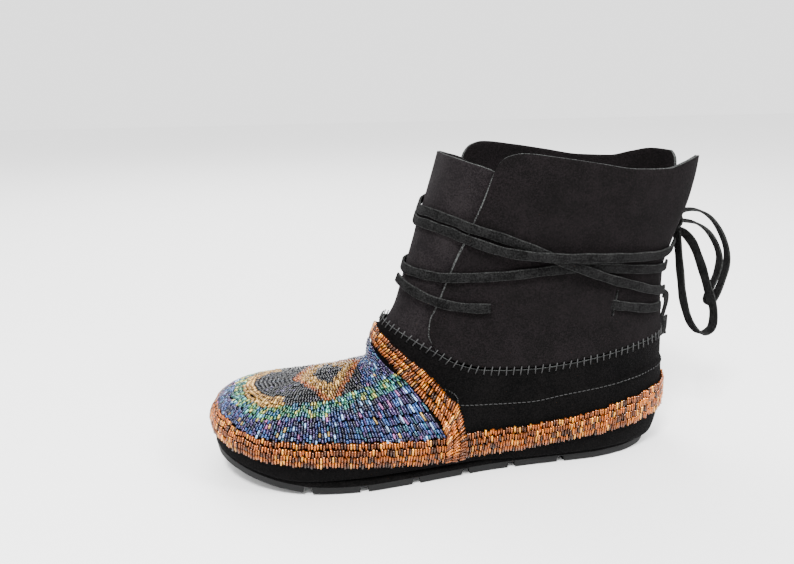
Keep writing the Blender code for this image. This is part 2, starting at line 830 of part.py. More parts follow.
def make_tongue(look):
    """The front panel, tucked behind the upper's topline and behind both flaps."""
    share_at, height = columns(TONGUE_TOP)
    guide = []
    for i in range(TONGUE_COLUMNS + 1):
        share = 2.0 * i / TONGUE_COLUMNS - 1.0
        angle = share * TONGUE_REACH
        top = float(blend(abs(share), share_at, above(height)))
        column = []
        for j in range(TONGUE_ROWS + 1):
            z = top
            for _ in range(6):
                x = float(shaft_point(angle, z)[0])
                low = topline_height(x) - TONGUE_TUCK
                z = low + (top - low) * j / TONGUE_ROWS
            column.append(shaft_point(angle, z))
        guide.append(column)
    outer = -max(COLLAR_WALL, UPPER_WALL) - TONGUE_GAP
    return layer("tongue", guide, outer - TONGUE_WALL, outer, look)


def sole_loft(name, stations, outline, look):
    """A slab lofted through cross sections, each a ring of (y, z) points at its station."""
    verts, faces = [], []
    for x in stations:
        ring = outline(x)
        verts += [(x, y, z) for y, z in ring]
    size = len(verts) // len(stations)
    for i in range(len(stations) - 1):
        for c in range(size):
            a, b = i * size + c, i * size + (c + 1) % size
            faces.append((a, a + size, b + size, b))
    faces.append(tuple(range(size)))
    end = (len(stations) - 1) * size
    faces.append(tuple(reversed(range(end, end + size))))
    return solid(name, verts, faces, look)


def tread_height(x):
    """The underside: the ground line with grooves pressed up into it."""
    for share in GROOVES:
        near = GROOVE_WIDTH / 2.0 - abs(x - along(share))
        if near > 0:
            return float(sole_lift(x)) + GROOVE_DEPTH * min(1.0, near / GROOVE_DRAFT)
    return float(sole_lift(x))


def sole_stations():
    """Stations crowd towards both ends and stand on the edges of each groove."""
    shares = 0.5 - 0.5 * np.cos(np.linspace(0.055, math.pi - 0.055, SOLE_STATIONS))
    half = GROOVE_WIDTH / 2.0
    marks = [along(g) + offset for g in GROOVES
             for offset in (-half, GROOVE_DRAFT - half, half - GROOVE_DRAFT, half)]
    marks += [along(ROLL_START), along(SPRING_START)]
    free = [x for x in along(shares) if min(abs(x - m) for m in marks) > 2.5]
    return sorted([float(v) for v in free + marks])


def make_outsole(look):
    """The rubber sole: flat sides with a narrow chamfer, toe spring and grooves."""

    def ring(x):
        outer, inner = (float(v) for v in FORM.sides(x))
        low, high = tread_height(x), float(sole_lift(x)) + SOLE_THICK
        c = min(SOLE_CHAMFER, (outer - inner) * 0.2)
        return [(outer - c, high), (outer, high - c), (outer, low + c), (outer - c, low),
                (inner + c, low), (inner, low + c), (inner, high - c), (inner + c, high)]

    return sole_loft("outsole", sole_stations(), ring, look)


def make_insole(look):
    """The footbed, inside the upper's lower edge and on the outsole."""
    start = along(0.0) + INSOLE_INSET * 0.9
    end = along(1.0) - INSOLE_INSET * 1.1
    shares = 0.5 - 0.5 * np.cos(np.linspace(INSOLE_END, math.pi - INSOLE_END, INSOLE_STATIONS))
    stations = [start + (end - start) * s for s in shares]

    def ring(x):
        outer, inner = (float(v) for v in FORM.sides(x))
        stretch = (x - start) / (end - start)
        ends = min(1.0, INSOLE_TAPER * stretch * (1.0 - stretch) + INSOLE_TIP)
        middle = (outer + inner) / 2.0
        left = (outer - INSOLE_INSET) * ends + middle * (1 - ends)
        right = (inner + INSOLE_INSET) * ends + middle * (1 - ends)
        low = float(sole_lift(x)) + SOLE_THICK + INSOLE_GAP
        high = low + INSOLE_THICK
        return [(left, high), (left, low), (right, low), (right, high)]

    return sole_loft("insole", stations, ring, look)


def make_strand(name, table, look):
    """One turn of lace round the shaft, lying on the form and over what it crosses."""
    x, y, z, layers = columns(table)
    route = np.stack([along(x), across(y), above(z), layers], axis=1)
    route = smooth_route(route, STRAND_STEP)
    skin, normal = FORM.onto(route[:, :3])
    lift = LACE_LIFT + LACE_THICK / 2.0 + route[:, 3] * LAYER
    centre = skin + normal * lift[:, None]
    run = np.gradient(centre, axis=0)
    return ribbon(name, centre, np.cross(normal, run), look)


def make_cord(name, points, flat, look, width=LACE_WIDTH):
    centre = smooth_route(points, CORD_STEP)
    wide = np.tile(np.array(flat, float), (len(centre), 1))
    return ribbon(name, centre, wide, look, width=width)


def make_skin_cord(name, points, look):
    """A lace end that lies on the shaft, flat against it."""
    centre = smooth_route(points, CORD_STEP)
    skin, normal = FORM.onto(centre)
    centre = skin + normal * (LACE_LIFT + LACE_THICK / 2.0)
    return ribbon(name, centre, np.cross(normal, np.gradient(centre, axis=0)), look)


def make_knot(look):
    """The bow's knot, a rounded lump of lace."""
    verts, faces = [], []
    rings, around = KNOT_FACETS
    for i in range(rings):
        lat = math.pi * (i + 0.5) / rings - math.pi / 2.0
        for k in range(around):
            lon = 2.0 * math.pi * k / around
            unit = (math.cos(lat) * math.cos(lon), math.cos(lat) * math.sin(lon), math.sin(lat))
            verts.append([c + u * s / 2.0 for c, u, s in zip(KNOT_PLACE, unit, KNOT_SIZE)])
    for i in range(rings - 1):
        for k in range(around):
            a, b = i * around + k, i * around + (k + 1) % around
            faces.append((a, b, b + around, a + around))
    faces.append(tuple(reversed(range(around))))
    faces.append(tuple(range((rings - 1) * around, rings * around)))
    return solid("lace_knot", verts, faces, look)


def main():
    for old in list(bpy.data.objects):
        bpy.data.objects.remove(old, do_unlink=True)
    suede = {name: material(name, SUEDE) for name in (
        "suede_upper", "suede_collar", "suede_tongue", "lace_suede")}
    make_outsole(material("black_rubber", RUBBER))
    make_insole(material("insole_lining", LINING))
    make_upper(suede["suede_upper"])
    make_collar(suede["suede_collar"])
    make_tongue(suede["suede_tongue"])
    bronze = material("bronze_beads", BRONZE_GLASS)
    make_foxing_beads(bronze)
    make_throat_beads(bronze)
    make_vamp_beads(material("iris_beads", IRIS_GLASS))
    lace = suede["lace_suede"]
    make_strand("lace_strand_high", STRAND_HIGH, lace)
    make_strand("lace_strand_mid", STRAND_MID, lace)
    make_strand("lace_strand_low", STRAND_LOW, lace)
    make_knot(lace)
    make_cord("lace_bow_outer", BOW_LOOP_OUTER, BOW_OUTER_FLAT, lace)
    make_cord("lace_bow_hanging", BOW_LOOP_HANGING, BOW_HANGING_FLAT, lace)
    make_cord("lace_lower_loop", LOWER_LOOP, LOWER_LOOP_FLAT, lace)
    make_skin_cord("lace_slot_end", SLOT_END, lace)
    make_skin_cord("lace_front_end", FRONT_END, lace)


main()
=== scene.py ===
# %% [markdown]
# # A beaded moccasin ankle boot
#
# The real thing is one left boot of black suede on a thin grooved rubber sole. Its vamp and
# the edge above the sole are covered with short glass tubes, called bugle beads, that are sewn
# on in courses. A flat suede lace goes three times round the ankle and ends in a bow.
#
# The built part gives every size. This script dresses it: each cell says what a piece is, how it
# could be made, and why it is made this way.

import math

import bpy
import numpy as np
from mathutils import Matrix, Vector


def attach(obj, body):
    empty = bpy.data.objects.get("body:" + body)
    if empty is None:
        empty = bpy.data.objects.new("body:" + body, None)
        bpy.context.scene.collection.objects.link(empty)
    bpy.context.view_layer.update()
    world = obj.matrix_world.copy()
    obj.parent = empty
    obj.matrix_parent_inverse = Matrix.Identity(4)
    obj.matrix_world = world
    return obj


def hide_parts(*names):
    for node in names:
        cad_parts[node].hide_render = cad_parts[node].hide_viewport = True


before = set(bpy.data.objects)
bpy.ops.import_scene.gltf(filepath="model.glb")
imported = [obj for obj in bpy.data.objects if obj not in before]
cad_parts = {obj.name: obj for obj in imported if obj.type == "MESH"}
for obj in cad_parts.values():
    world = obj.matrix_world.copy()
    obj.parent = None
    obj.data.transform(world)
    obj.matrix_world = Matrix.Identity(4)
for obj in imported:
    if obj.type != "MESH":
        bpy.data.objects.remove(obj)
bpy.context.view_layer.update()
print("solids in the built part:", len(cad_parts))

# %% [markdown]
# ## The camera
#
# The photograph was taken from the outer side, a little in front and above. The lens and the
# place were worked out from where the sole's ends, its grooves and the collar's edge stand in
# it, so the camera is set by its place and three turns instead of by eye.

# %% Camera
CAMERA_PLACE = (0.183811, 0.414234, 0.211007)
YAW, PITCH, ROLL = 0.161, 0.259, -0.012
LENS_SHARE = 797.9 / 794.0  # focal length as a share of the picture's width


def camera_matrix():
    ahead = Vector((
        -math.sin(YAW) * math.cos(PITCH),
        -math.cos(YAW) * math.cos(PITCH),
        -math.sin(PITCH),
    ))
    right = ahead.cross(Vector((0, 0, 1))).normalized()
    up = right.cross(ahead)
    level = right * math.cos(ROLL) + up * math.sin(ROLL)
    upright = -right * math.sin(ROLL) + up * math.cos(ROLL)
    turned = Matrix((level, upright, -ahead)).transposed().to_4x4()
    return Matrix.Translation(CAMERA_PLACE) @ turned


camera_data = bpy.data.cameras.new("photo_camera")
camera_data.sensor_width = 36.0
camera_data.lens = 36.0 * LENS_SHARE
camera = bpy.data.objects.new("photo_camera", camera_data)
camera.matrix_world = camera_matrix()
bpy.context.scene.collection.objects.link(camera)
bpy.context.scene.camera = camera
print("lens in millimetres:", round(camera_data.lens, 2))

# %% [markdown]
# ## Colours, nodes and meshes
#
# Colours are picked as the eye sees them, in sRGB, but Blender mixes light in linear values, so
# one function turns them. One more adds a shader node with its settings and links, and one makes
# a plain mesh object that sits at the origin, as the built part's own pieces do.


# %% Small helpers
def linear(code, alpha=1.0):
    """A colour as linear values from its sRGB hex code."""
    parts = [int(code[i:i + 2], 16) / 255.0 for i in (0, 2, 4)]
    bright = [c / 12.92 if c <= 0.04045 else ((c + 0.055) / 1.055) ** 2.4 for c in parts]
    return (*bright, alpha)


def add(tree, kind, links=(), **settings):
    """Adds a node, sets its properties and sockets, and links sockets into it."""
    node = tree.nodes.new(kind)
    for name, value in settings.items():
        if name.startswith("in_"):
            key = name[3:]
            socket = node.inputs[int(key)] if key.isdigit() else node.inputs[key.replace("_", " ")]
            socket.default_value = value
        else:
            setattr(node, name, value)
    for source, target in links:
        tree.links.new(source, node.inputs[target])
    return node


def new_material(name):
    made = bpy.data.materials.new(name)
    made.use_nodes = True
    surface = made.node_tree.nodes["Principled BSDF"]
    return made, made.node_tree, surface


def set_inputs(node, values):
    """Sets constants on a node's own sockets."""
    for name, value in values.items():
        node.inputs[name].default_value = value


def noise(tree, place, size_mm, detail, **more):
    """Noise with a grain of a real size in millimetres."""
    made = add(tree, "ShaderNodeTexNoise", [(place, "Vector")], in_Scale=1000.0 / size_mm,
               in_Detail=detail, **more)
    return made.outputs["Fac"]


def ramp(tree, source, low, high, dark, light):
    """A colour between two hex codes, by where the source lies between low and high."""
    tone = add(tree, "ShaderNodeValToRGB", [(source, "Fac")])
    for stop, position, code in zip(tone.color_ramp.elements, (low, high), (dark, light)):
        stop.position = position
        stop.color = linear(code)
    return tone.outputs["Color"]


def bump(tree, surface, height, strength, depth):
    made = add(tree, "ShaderNodeBump", [(height, "Height")], in_Strength=strength, in_Distance=depth)
    tree.links.new(made.outputs["Normal"], surface.inputs["Normal"])


def mesh_object(name, verts, faces, looks, smooth=True):
    """A mesh object from points in millimetres."""
    mesh = bpy.data.meshes.new(name)
    mesh.from_pydata((np.asarray(verts, float) / 1000.0).tolist(), [], faces)
    mesh.validate()
    for look in looks if isinstance(looks, (list, tuple)) else [looks]:
        mesh.materials.append(look)
    mesh.polygons.foreach_set("use_smooth", [smooth] * len(mesh.polygons))
    made = bpy.data.objects.new(name, mesh)
    bpy.context.scene.collection.objects.link(made)
    return made


def dress(piece, slot, *nodes):
    """Fixes a finished piece to the boot, in place of the plain solids it stands for."""
    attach(piece, "root")
    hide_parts(*nodes)
    print(piece.name, "has", len(piece.data.polygons), "faces")
    return piece


# %% [markdown]
# ## Suede
#
# Suede is the split flesh side of a hide, buffed until short fibres stand up. They drink nearly
# all light, so it has no gloss, only a faint pale sheen at grazing angles, and brushed patches
# where the nap lies another way. It could be hair, which would cost far too many curves for a
# nap of half a millimetre. A fine bump, a mottled colour and the shader's sheen look the same here.


# %% Black suede
CLOUD_SHARE = 0.30  # how much of the mottling is brushed patches, and the rest is nap


def suede(name, dark, light, nap_mm=0.9, cloud_mm=14.0, sheen=0.025):
    """Buffed split hide. The nap gives a soft edge light and cloudy, dusty patches."""
    made, tree, surface = new_material(name)
    place = add(tree, "ShaderNodeTexCoord").outputs["Object"]
    cloud = noise(tree, place, cloud_mm, 4.0, in_Roughness=0.62, in_Distortion=0.5)
    nap = noise(tree, place, nap_mm, 3.0, in_Roughness=0.7)
    soft = add(tree, "ShaderNodeMath", [(cloud, 0)], operation="MULTIPLY", in_1=CLOUD_SHARE)
    grain = add(tree, "ShaderNodeMath", [(nap, 0), (soft.outputs[0], 2)],
                operation="MULTIPLY_ADD", in_1=1.0 - CLOUD_SHARE)
    tone = ramp(tree, grain.outputs[0], 0.43, 0.59, dark, light)
    tree.links.new(tone, surface.inputs["Base Color"])
    bump(tree, surface, nap, 0.9, 0.0006)
    set_inputs(surface, {
        "Roughness": 1.0, "IOR": 1.45, "Specular IOR Level": 0.05,
        "Sheen Weight": sheen, "Sheen Roughness": 0.5, "Sheen Tint": linear("6e6a70")})
    return made


UPPER_SUEDE = suede("suede_buffed_black", "020202", "090808")
COLLAR_SUEDE = suede("suede_buffed_black_collar", "090808", "131011")
TONGUE_SUEDE = suede("suede_buffed_black_tongue", "100e0f", "1d1a1b")
LACE_SUEDE = suede("suede_cut_lace", "060606", "1a1a1a", nap_mm=0.8, cloud_mm=8.0)
LACE_EDGE = suede("suede_cut_lace_edge", "101010", "303130", nap_mm=0.7, cloud_mm=4.0)
CUT_EDGE = suede("suede_cut_edge_raw", "181818", "484a49", nap_mm=0.7, cloud_mm=4.0)
print("suedes made:", len([m for m in bpy.data.materials if m.name.startswith("suede")]))

# %% [markdown]
# ## The boot's form
#
# The vamp, the quarters, the collar and every bead lie on one smooth form: a foot dome joined to
# an ankle shaft. It could be sculpted, but then a bead could miss the suede below it. Here the
# form is a function that says how far any point is from the skin, so points can be pushed onto
# it, and each layer lies a known thickness off it. The tables are the built part's own.

# %% Sizes and tables
SOLE_LENGTH, BALL_WIDTH, SHAFT_HEIGHT, HEEL_SETBACK = 250.0, 86.0, 170.0, 0.124
SOLE_THICK, GROOVE_DEPTH, INSOLE_THICK = 6.5, 3.0, 2.4
UPPER_WALL, LAYER_STEP, COLLAR_WALL, TONGUE_WALL, TONGUE_GAP = 1.6, 0.8, 1.8, 1.8, 0.9
BEAD_THICK, BEAD_LIFT, PIECE_GAP, SEAM_GAP = 1.5, 0.5, 0.3, 1.0
LACE_WIDTH, LACE_THICK, LACE_LIFT = 5.0, 1.4, 0.9
# The form
BULGE = 3.0  # how far the upper swells out past the edge of the sole
TOE_TRIM = 0.9  # share of the bulge that is lost at the tip of the toe
WIDEST_HEIGHT = 24.0
TUCK_DEPTH = 34.0
BLEND = 8.0
HEEL_AXIS = 0.124
TOE_AXIS = 0.844
AXIS_SHIFT = -3.0
TOE_SPRING = 13.2
SPRING_START = 0.724
SPRING_SPAN = 0.28
HEEL_ROLL = 3.0
ROLL_START = 0.052
ROLL_SPAN = 0.052

# Sole outline: share of length, outer edge, inner edge (shares of the ball width)
OUTLINE = (
    (0.000, 0.000, 0.000),
    (0.020, 0.148, -0.137),
    (0.050, 0.228, -0.217),
    (0.100, 0.303, -0.291),
    (0.180, 0.354, -0.343),
    (0.280, 0.365, -0.337),
    (0.400, 0.388, -0.297),
    (0.500, 0.434, -0.297),
    (0.600, 0.485, -0.354),
    (0.700, 0.520, -0.434),
    (0.780, 0.508, -0.480),
    (0.850, 0.462, -0.491),
    (0.910, 0.377, -0.457),
    (0.955, 0.263, -0.388),
    (0.985, 0.126, -0.285),
    (1.000, -0.069, -0.069),
)

# Foot dome: share of length, ridge height (share of the shaft height), fullness of the section
RIDGE = (
    (-0.036, 0.447, 2.20),
    (0.124, 0.471, 2.20),
    (0.364, 0.494, 2.10),
    (0.524, 0.406, 2.10),
    (0.632, 0.321, 2.10),
    (0.712, 0.285, 2.15),
    (0.784, 0.266, 2.30),
    (0.844, 0.254, 2.45),
)
# Shaft: height, back, front (shares of length), half width (share of ball width), fullness
SHAFT = (
    (0.000, -0.004, 0.596, 0.349, 2.20),
    (0.106, -0.022, 0.620, 0.384, 2.20),
    (0.235, -0.026, 0.644, 0.407, 2.20),
    (0.365, -0.024, 0.648, 0.401, 2.20),
    (0.447, -0.020, 0.632, 0.401, 2.20),
    (0.518, -0.016, 0.606, 0.395, 2.20),
    (0.606, -0.016, 0.588, 0.395, 2.20),
    (0.676, -0.027, 0.574, 0.407, 2.25),
    (0.735, -0.038, 0.562, 0.419, 2.30),
    (0.794, -0.051, 0.551, 0.430, 2.40),
    (0.853, -0.059, 0.536, 0.448, 2.50),
    (0.941, -0.066, 0.517, 0.471, 2.60),
    (1.030, -0.070, 0.500, 0.488, 2.60),
)
# Bead band round the foot: share of length, lower edge, upper edge (shares of shaft height)
BAND = (
    (-0.040, 0.144, 0.232),
    (0.000, 0.138, 0.229),
    (0.040, 0.126, 0.222),
    (0.128, 0.112, 0.203),
    (0.220, 0.101, 0.179),
    (0.312, 0.087, 0.165),
    (0.404, 0.078, 0.158),
    (0.536, 0.075, 0.155),
    (0.620, 0.087, 0.162),
    (0.724, 0.107, 0.172),
    (0.824, 0.114, 0.175),
    (0.900, 0.122, 0.181),
    (0.940, 0.129, 0.194),
    (0.976, 0.141, 0.218),
    (1.012, 0.153, 0.229),
)
# Rings round the upper: share of the way from toe to heel, then place as shares of length, ball
# width and height. The vamp's beads end and the instep band begins on the first one.
INSTEP_FRONT = (
    (0.00, 0.656, 0.000, 0.408),
    (0.10, 0.645, 0.099, 0.394),
    (0.20, 0.626, 0.186, 0.365),
    (0.30, 0.598, 0.291, 0.318),
    (0.40, 0.564, 0.407, 0.259),
    (0.47, 0.534, 0.494, 0.212),
    (0.50, 0.526, 0.512, 0.197),
)
# The seam that tops the vamp, the instep band and the lower quarter
SEAM = (
    (0.00, 0.632, 0.000, 0.453),
    (0.11, 0.612, 0.116, 0.426),
    (0.22, 0.584, 0.221, 0.388),
    (0.33, 0.552, 0.302, 0.341),
    (0.44, 0.520, 0.384, 0.288),
    (0.53, 0.492, 0.465, 0.262),
    (0.59, 0.436, 0.477, 0.253),
    (0.67, 0.336, 0.477, 0.248),
    (0.76, 0.248, 0.465, 0.262),
    (0.86, 0.154, 0.442, 0.274),
    (0.94, 0.064, 0.349, 0.285),
    (1.00, -0.028, 0.000, 0.294),
)
# The topline, to which the collar is whipped
TOPLINE = (
    (0.00, 0.630, 0.000, 0.475),
    (0.11, 0.616, 0.128, 0.465),
    (0.22, 0.592, 0.221, 0.447),
    (0.33, 0.564, 0.297, 0.424),
    (0.44, 0.528, 0.355, 0.397),
    (0.53, 0.484, 0.395, 0.365),
    (0.59, 0.424, 0.419, 0.344),
    (0.67, 0.332, 0.430, 0.338),
    (0.76, 0.244, 0.430, 0.345),
    (0.86, 0.152, 0.407, 0.360),
    (0.94, 0.068, 0.326, 0.375),
    (1.00, -0.024, 0.000, 0.391),
)
# Front edge of the collar flaps: height, share of length
FLAP_EDGE = (
    (0.405, 0.523),
    (0.424, 0.535),
    (0.453, 0.542),
    (0.494, 0.538),
    (0.545, 0.523),
    (0.624, 0.503),
    (0.694, 0.485),
    (0.751, 0.468),
    (0.803, 0.454),
    (0.861, 0.438),
    (0.933, 0.422),
)
# Top edge of the collar from the back to the rounded front corner: share of length, height
COLLAR_TOP = (
    (-0.068, 0.971),
    (-0.036, 0.976),
    (0.004, 0.964),
    (0.052, 0.949),
    (0.124, 0.953),
    (0.210, 0.974),
    (0.292, 0.994),
    (0.364, 1.007),
    (0.392, 0.998),
    (0.410, 0.974),
    (0.422, 0.933),
)
# Top edge of the tongue: share of its half width, height
TONGUE_TOP = (
    (0.00, 1.000),
    (0.30, 0.994),
    (0.60, 0.978),
    (0.85, 0.956),
    (1.00, 0.915),
)
TONGUE_REACH = math.radians(62.0)
TONGUE_TUCK = 5.0

# Back slit of the collar: base and top half widths, and the height of its lower end
BACK_SLIT = (0.8, 12.5)
BACK_SLIT_BASE = 0.71
# Lace slots near the back, one each side
SLOT_AT = 0.142
SLOT_LOW = 0.482
SLOT_HIGH = 0.564

# Lace strands round the shaft: share of length, of ball width, of height, and of layers below
STRAND_HIGH = (
    (-0.036, -0.165, 0.760, 0.0),
    (0.012, -0.279, 0.771, 0.0),
    (0.124, -0.419, 0.788, 0.0),
    (0.284, -0.477, 0.818, 0.0),
    (0.444, -0.395, 0.835, 0.0),
    (0.532, -0.209, 0.841, 0.0),
    (0.568, 0.000, 0.838, 0.0),
    (0.542, 0.186, 0.829, 0.0),
    (0.518, 0.302, 0.815, 0.0),
    (0.474, 0.395, 0.792, 0.0),
    (0.390, 0.453, 0.753, 0.0),
    (0.308, 0.488, 0.704, 1.0),
    (0.241, 0.488, 0.660, 1.0),
    (0.172, 0.465, 0.621, 1.0),
    (0.091, 0.384, 0.581, 0.0),
    (0.040, 0.256, 0.552, 0.0),
    (-0.004, 0.105, 0.532, 0.0),
)
STRAND_MID = (
    (-0.040, -0.130, 0.718, 0.0),
    (0.012, -0.279, 0.726, 0.0),
    (0.124, -0.407, 0.747, 0.0),
    (0.284, -0.465, 0.771, 0.0),
    (0.444, -0.395, 0.791, 0.0),
    (0.532, -0.209, 0.799, 0.0),
    (0.572, 0.000, 0.799, 0.0),
    (0.544, 0.186, 0.790, 0.0),
    (0.518, 0.302, 0.777, 0.0),
    (0.474, 0.395, 0.754, 0.0),
    (0.390, 0.453, 0.718, 1.6),
    (0.285, 0.488, 0.697, 2.0),
    (0.198, 0.477, 0.690, 2.0),
    (0.097, 0.395, 0.678, 1.0),
    (0.020, 0.233, 0.674, 0.0),
    (-0.024, 0.093, 0.690, 0.0),
)
STRAND_LOW = (
    (-0.040, -0.105, 0.676, 0.0),
    (0.016, -0.256, 0.676, 0.0),
    (0.124, -0.395, 0.671, 0.0),
    (0.284, -0.442, 0.653, 0.0),
    (0.444, -0.384, 0.644, 0.0),
    (0.540, -0.198, 0.644, 0.0),
    (0.588, 0.000, 0.645, 0.0),
    (0.566, 0.209, 0.639, 0.0),
    (0.540, 0.326, 0.634, 0.0),
    (0.484, 0.407, 0.635, 0.0),
    (0.384, 0.453, 0.641, 0.0),
    (0.284, 0.488, 0.651, 0.0),
    (0.196, 0.477, 0.649, 0.0),
    (0.096, 0.395, 0.632, 0.0),
    (0.028, 0.233, 0.621, 0.0),
    (-0.012, 0.093, 0.617, 0.0),
)
LAYER_GAP = 0.5
LAYER = LACE_THICK + LAYER_GAP  # how far a turn of lace rises over the turn below it

# %% Route of the free lace in millimetres
KNOT_PLACE = (-45.7, -6.5, 127.0)
KNOT_SIZE = (9.0, 11.0, 10.0)
BOW_LOOP_OUTER = (
    (-49.8, -9.4, 129.8),
    (-54.0, -9.8, 131.2),
    (-62.0, -10.5, 130.8),
    (-71.0, -11.5, 126.5),
    (-79.0, -12.0, 117.5),
    (-84.5, -12.0, 105.5),
    (-85.0, -11.5, 95.5),
    (-82.0, -11.0, 84.5),
    (-78.3, -10.7, 75.6),
    (-75.6, -10.5, 72.4),
    (-73.3, -10.5, 74.6),
    (-75.4, -10.7, 82.5),
    (-78.9, -11.0, 91.5),
    (-80.0, -11.4, 101.0),
    (-76.5, -11.3, 110.0),
    (-70.0, -11.0, 118.3),
    (-61.5, -10.5, 123.4),
    (-51.2, -9.6, 125.4),
)
BOW_LOOP_HANGING = (
    (-47.6, -8.2, 121.3),
    (-52.5, -7.0, 119.0),
    (-58.0, -5.5, 113.0),
    (-63.5, -4.5, 101.5),
    (-69.5, -4.0, 85.5),
    (-74.5, -3.5, 70.5),
    (-73.5, -3.0, 60.0),
    (-67.5, -2.5, 57.5),
    (-60.5, -2.0, 63.0),
    (-54.0, -1.5, 77.0),
    (-50.0, -1.0, 95.0),
    (-48.0, -1.5, 108.0),
    (-46.6, -3.0, 120.4),
)
LOWER_LOOP = (
    (-35.2, 8.8, 87.2),
    (-38.8, 5.0, 84.8),
    (-41.2, 0.8, 79.0),
    (-40.8, -1.5, 70.0),
    (-39.6, -0.5, 63.5),
    (-39.0, 3.0, 61.3),
    (-38.0, 7.0, 66.0),
    (-36.8, 9.5, 73.5),
)
SLOT_END = (
    (1.0, 37.5, 88.6),
    (-6.5, 36.2, 87.2),
    (-14.0, 32.8, 85.6),
    (-20.5, 28.6, 84.2),
)
FRONT_END = (
    (117.4, 4.0, 104.0),
    (114.6, 13.0, 101.3),
    (110.5, 21.0, 98.6),
    (105.0, 27.5, 96.2),
    (98.0, 32.3, 94.2),
    (90.5, 35.5, 93.0),
    (82.5, 37.6, 92.4),
    (74.5, 38.8, 92.3),
)
BOW_OUTER_FLAT = (0.15, -1.0, 0.1)  # direction across the lace, for each free run
BOW_HANGING_FLAT = (0.45, -1.0, 0.1)
LOWER_LOOP_FLAT = (0.9, 0.9, 0.0)

# %% Form and its helpers
def along(share):
    """Millimetres forward of the heel's middle for a share of the sole's length."""
    return (np.asarray(share, float) - HEEL_SETBACK) * SOLE_LENGTH


def across(share):
    return np.asarray(share, float) * BALL_WIDTH


def above(share):
    return np.asarray(share, float) * SHAFT_HEIGHT


def blend(at, knots, values):
    """Reads a curve without overshoot through the knots (monotone cubic)."""
    knots = np.asarray(knots, float)
    values = np.asarray(values, float)
    span = np.diff(knots)
    slope = np.diff(values) / span
    tangent = np.zeros(len(values))
    tangent[0] = slope[0]
    tangent[-1] = slope[-1]
    before, after = slope[:-1], slope[1:]
    same = before * after > 0
    total = np.where(same, before + after, 1.0)
    tangent[1:-1] = np.where(same, 2.0 * before * after / total, 0.0)
    at = np.clip(at, knots[0], knots[-1])
    i = np.clip(np.searchsorted(knots, at) - 1, 0, len(span) - 1)
    t = (at - knots[i]) / span[i]
    rise = values[i] * (1 + 2 * t) * (1 - t) ** 2 + values[i + 1] * t * t * (3 - 2 * t)
    bend = span[i] * t * (1 - t) * (tangent[i] * (1 - t) - tangent[i + 1] * t)
    return rise + bend


def columns(table):
    return [np.array(column, float) for column in zip(*table)]


def smooth_route(points, step):
    """Evenly spaced points on a smooth curve through the route points."""
    points = np.asarray(points, float)
    chord = np.linalg.norm(np.diff(points[:, :3], axis=0), axis=1)
    knots = np.concatenate([[0.0], np.cumsum(np.sqrt(chord))])
    tangent = np.gradient(points, knots, axis=0)
    dense = []
    for i in range(len(points) - 1):
        span = knots[i + 1] - knots[i]
        for t in np.linspace(0.0, 1.0, 24, endpoint=False):
            a = points[i] * (1 + 2 * t) * (1 - t) ** 2 + points[i + 1] * t * t * (3 - 2 * t)
            b = span * t * (1 - t) * (tangent[i] * (1 - t) - tangent[i + 1] * t)
            dense.append(a + b)
    dense = np.array(dense + [points[-1]])
    run = np.concatenate([[0.0], np.cumsum(np.linalg.norm(np.diff(dense[:, :3], axis=0), axis=1))])
    count = max(4, int(round(run[-1] / step)) + 1)
    at = np.linspace(0.0, run[-1], count)
    return np.stack([np.interp(at, run, dense[:, k]) for k in range(dense.shape[1])], axis=1)


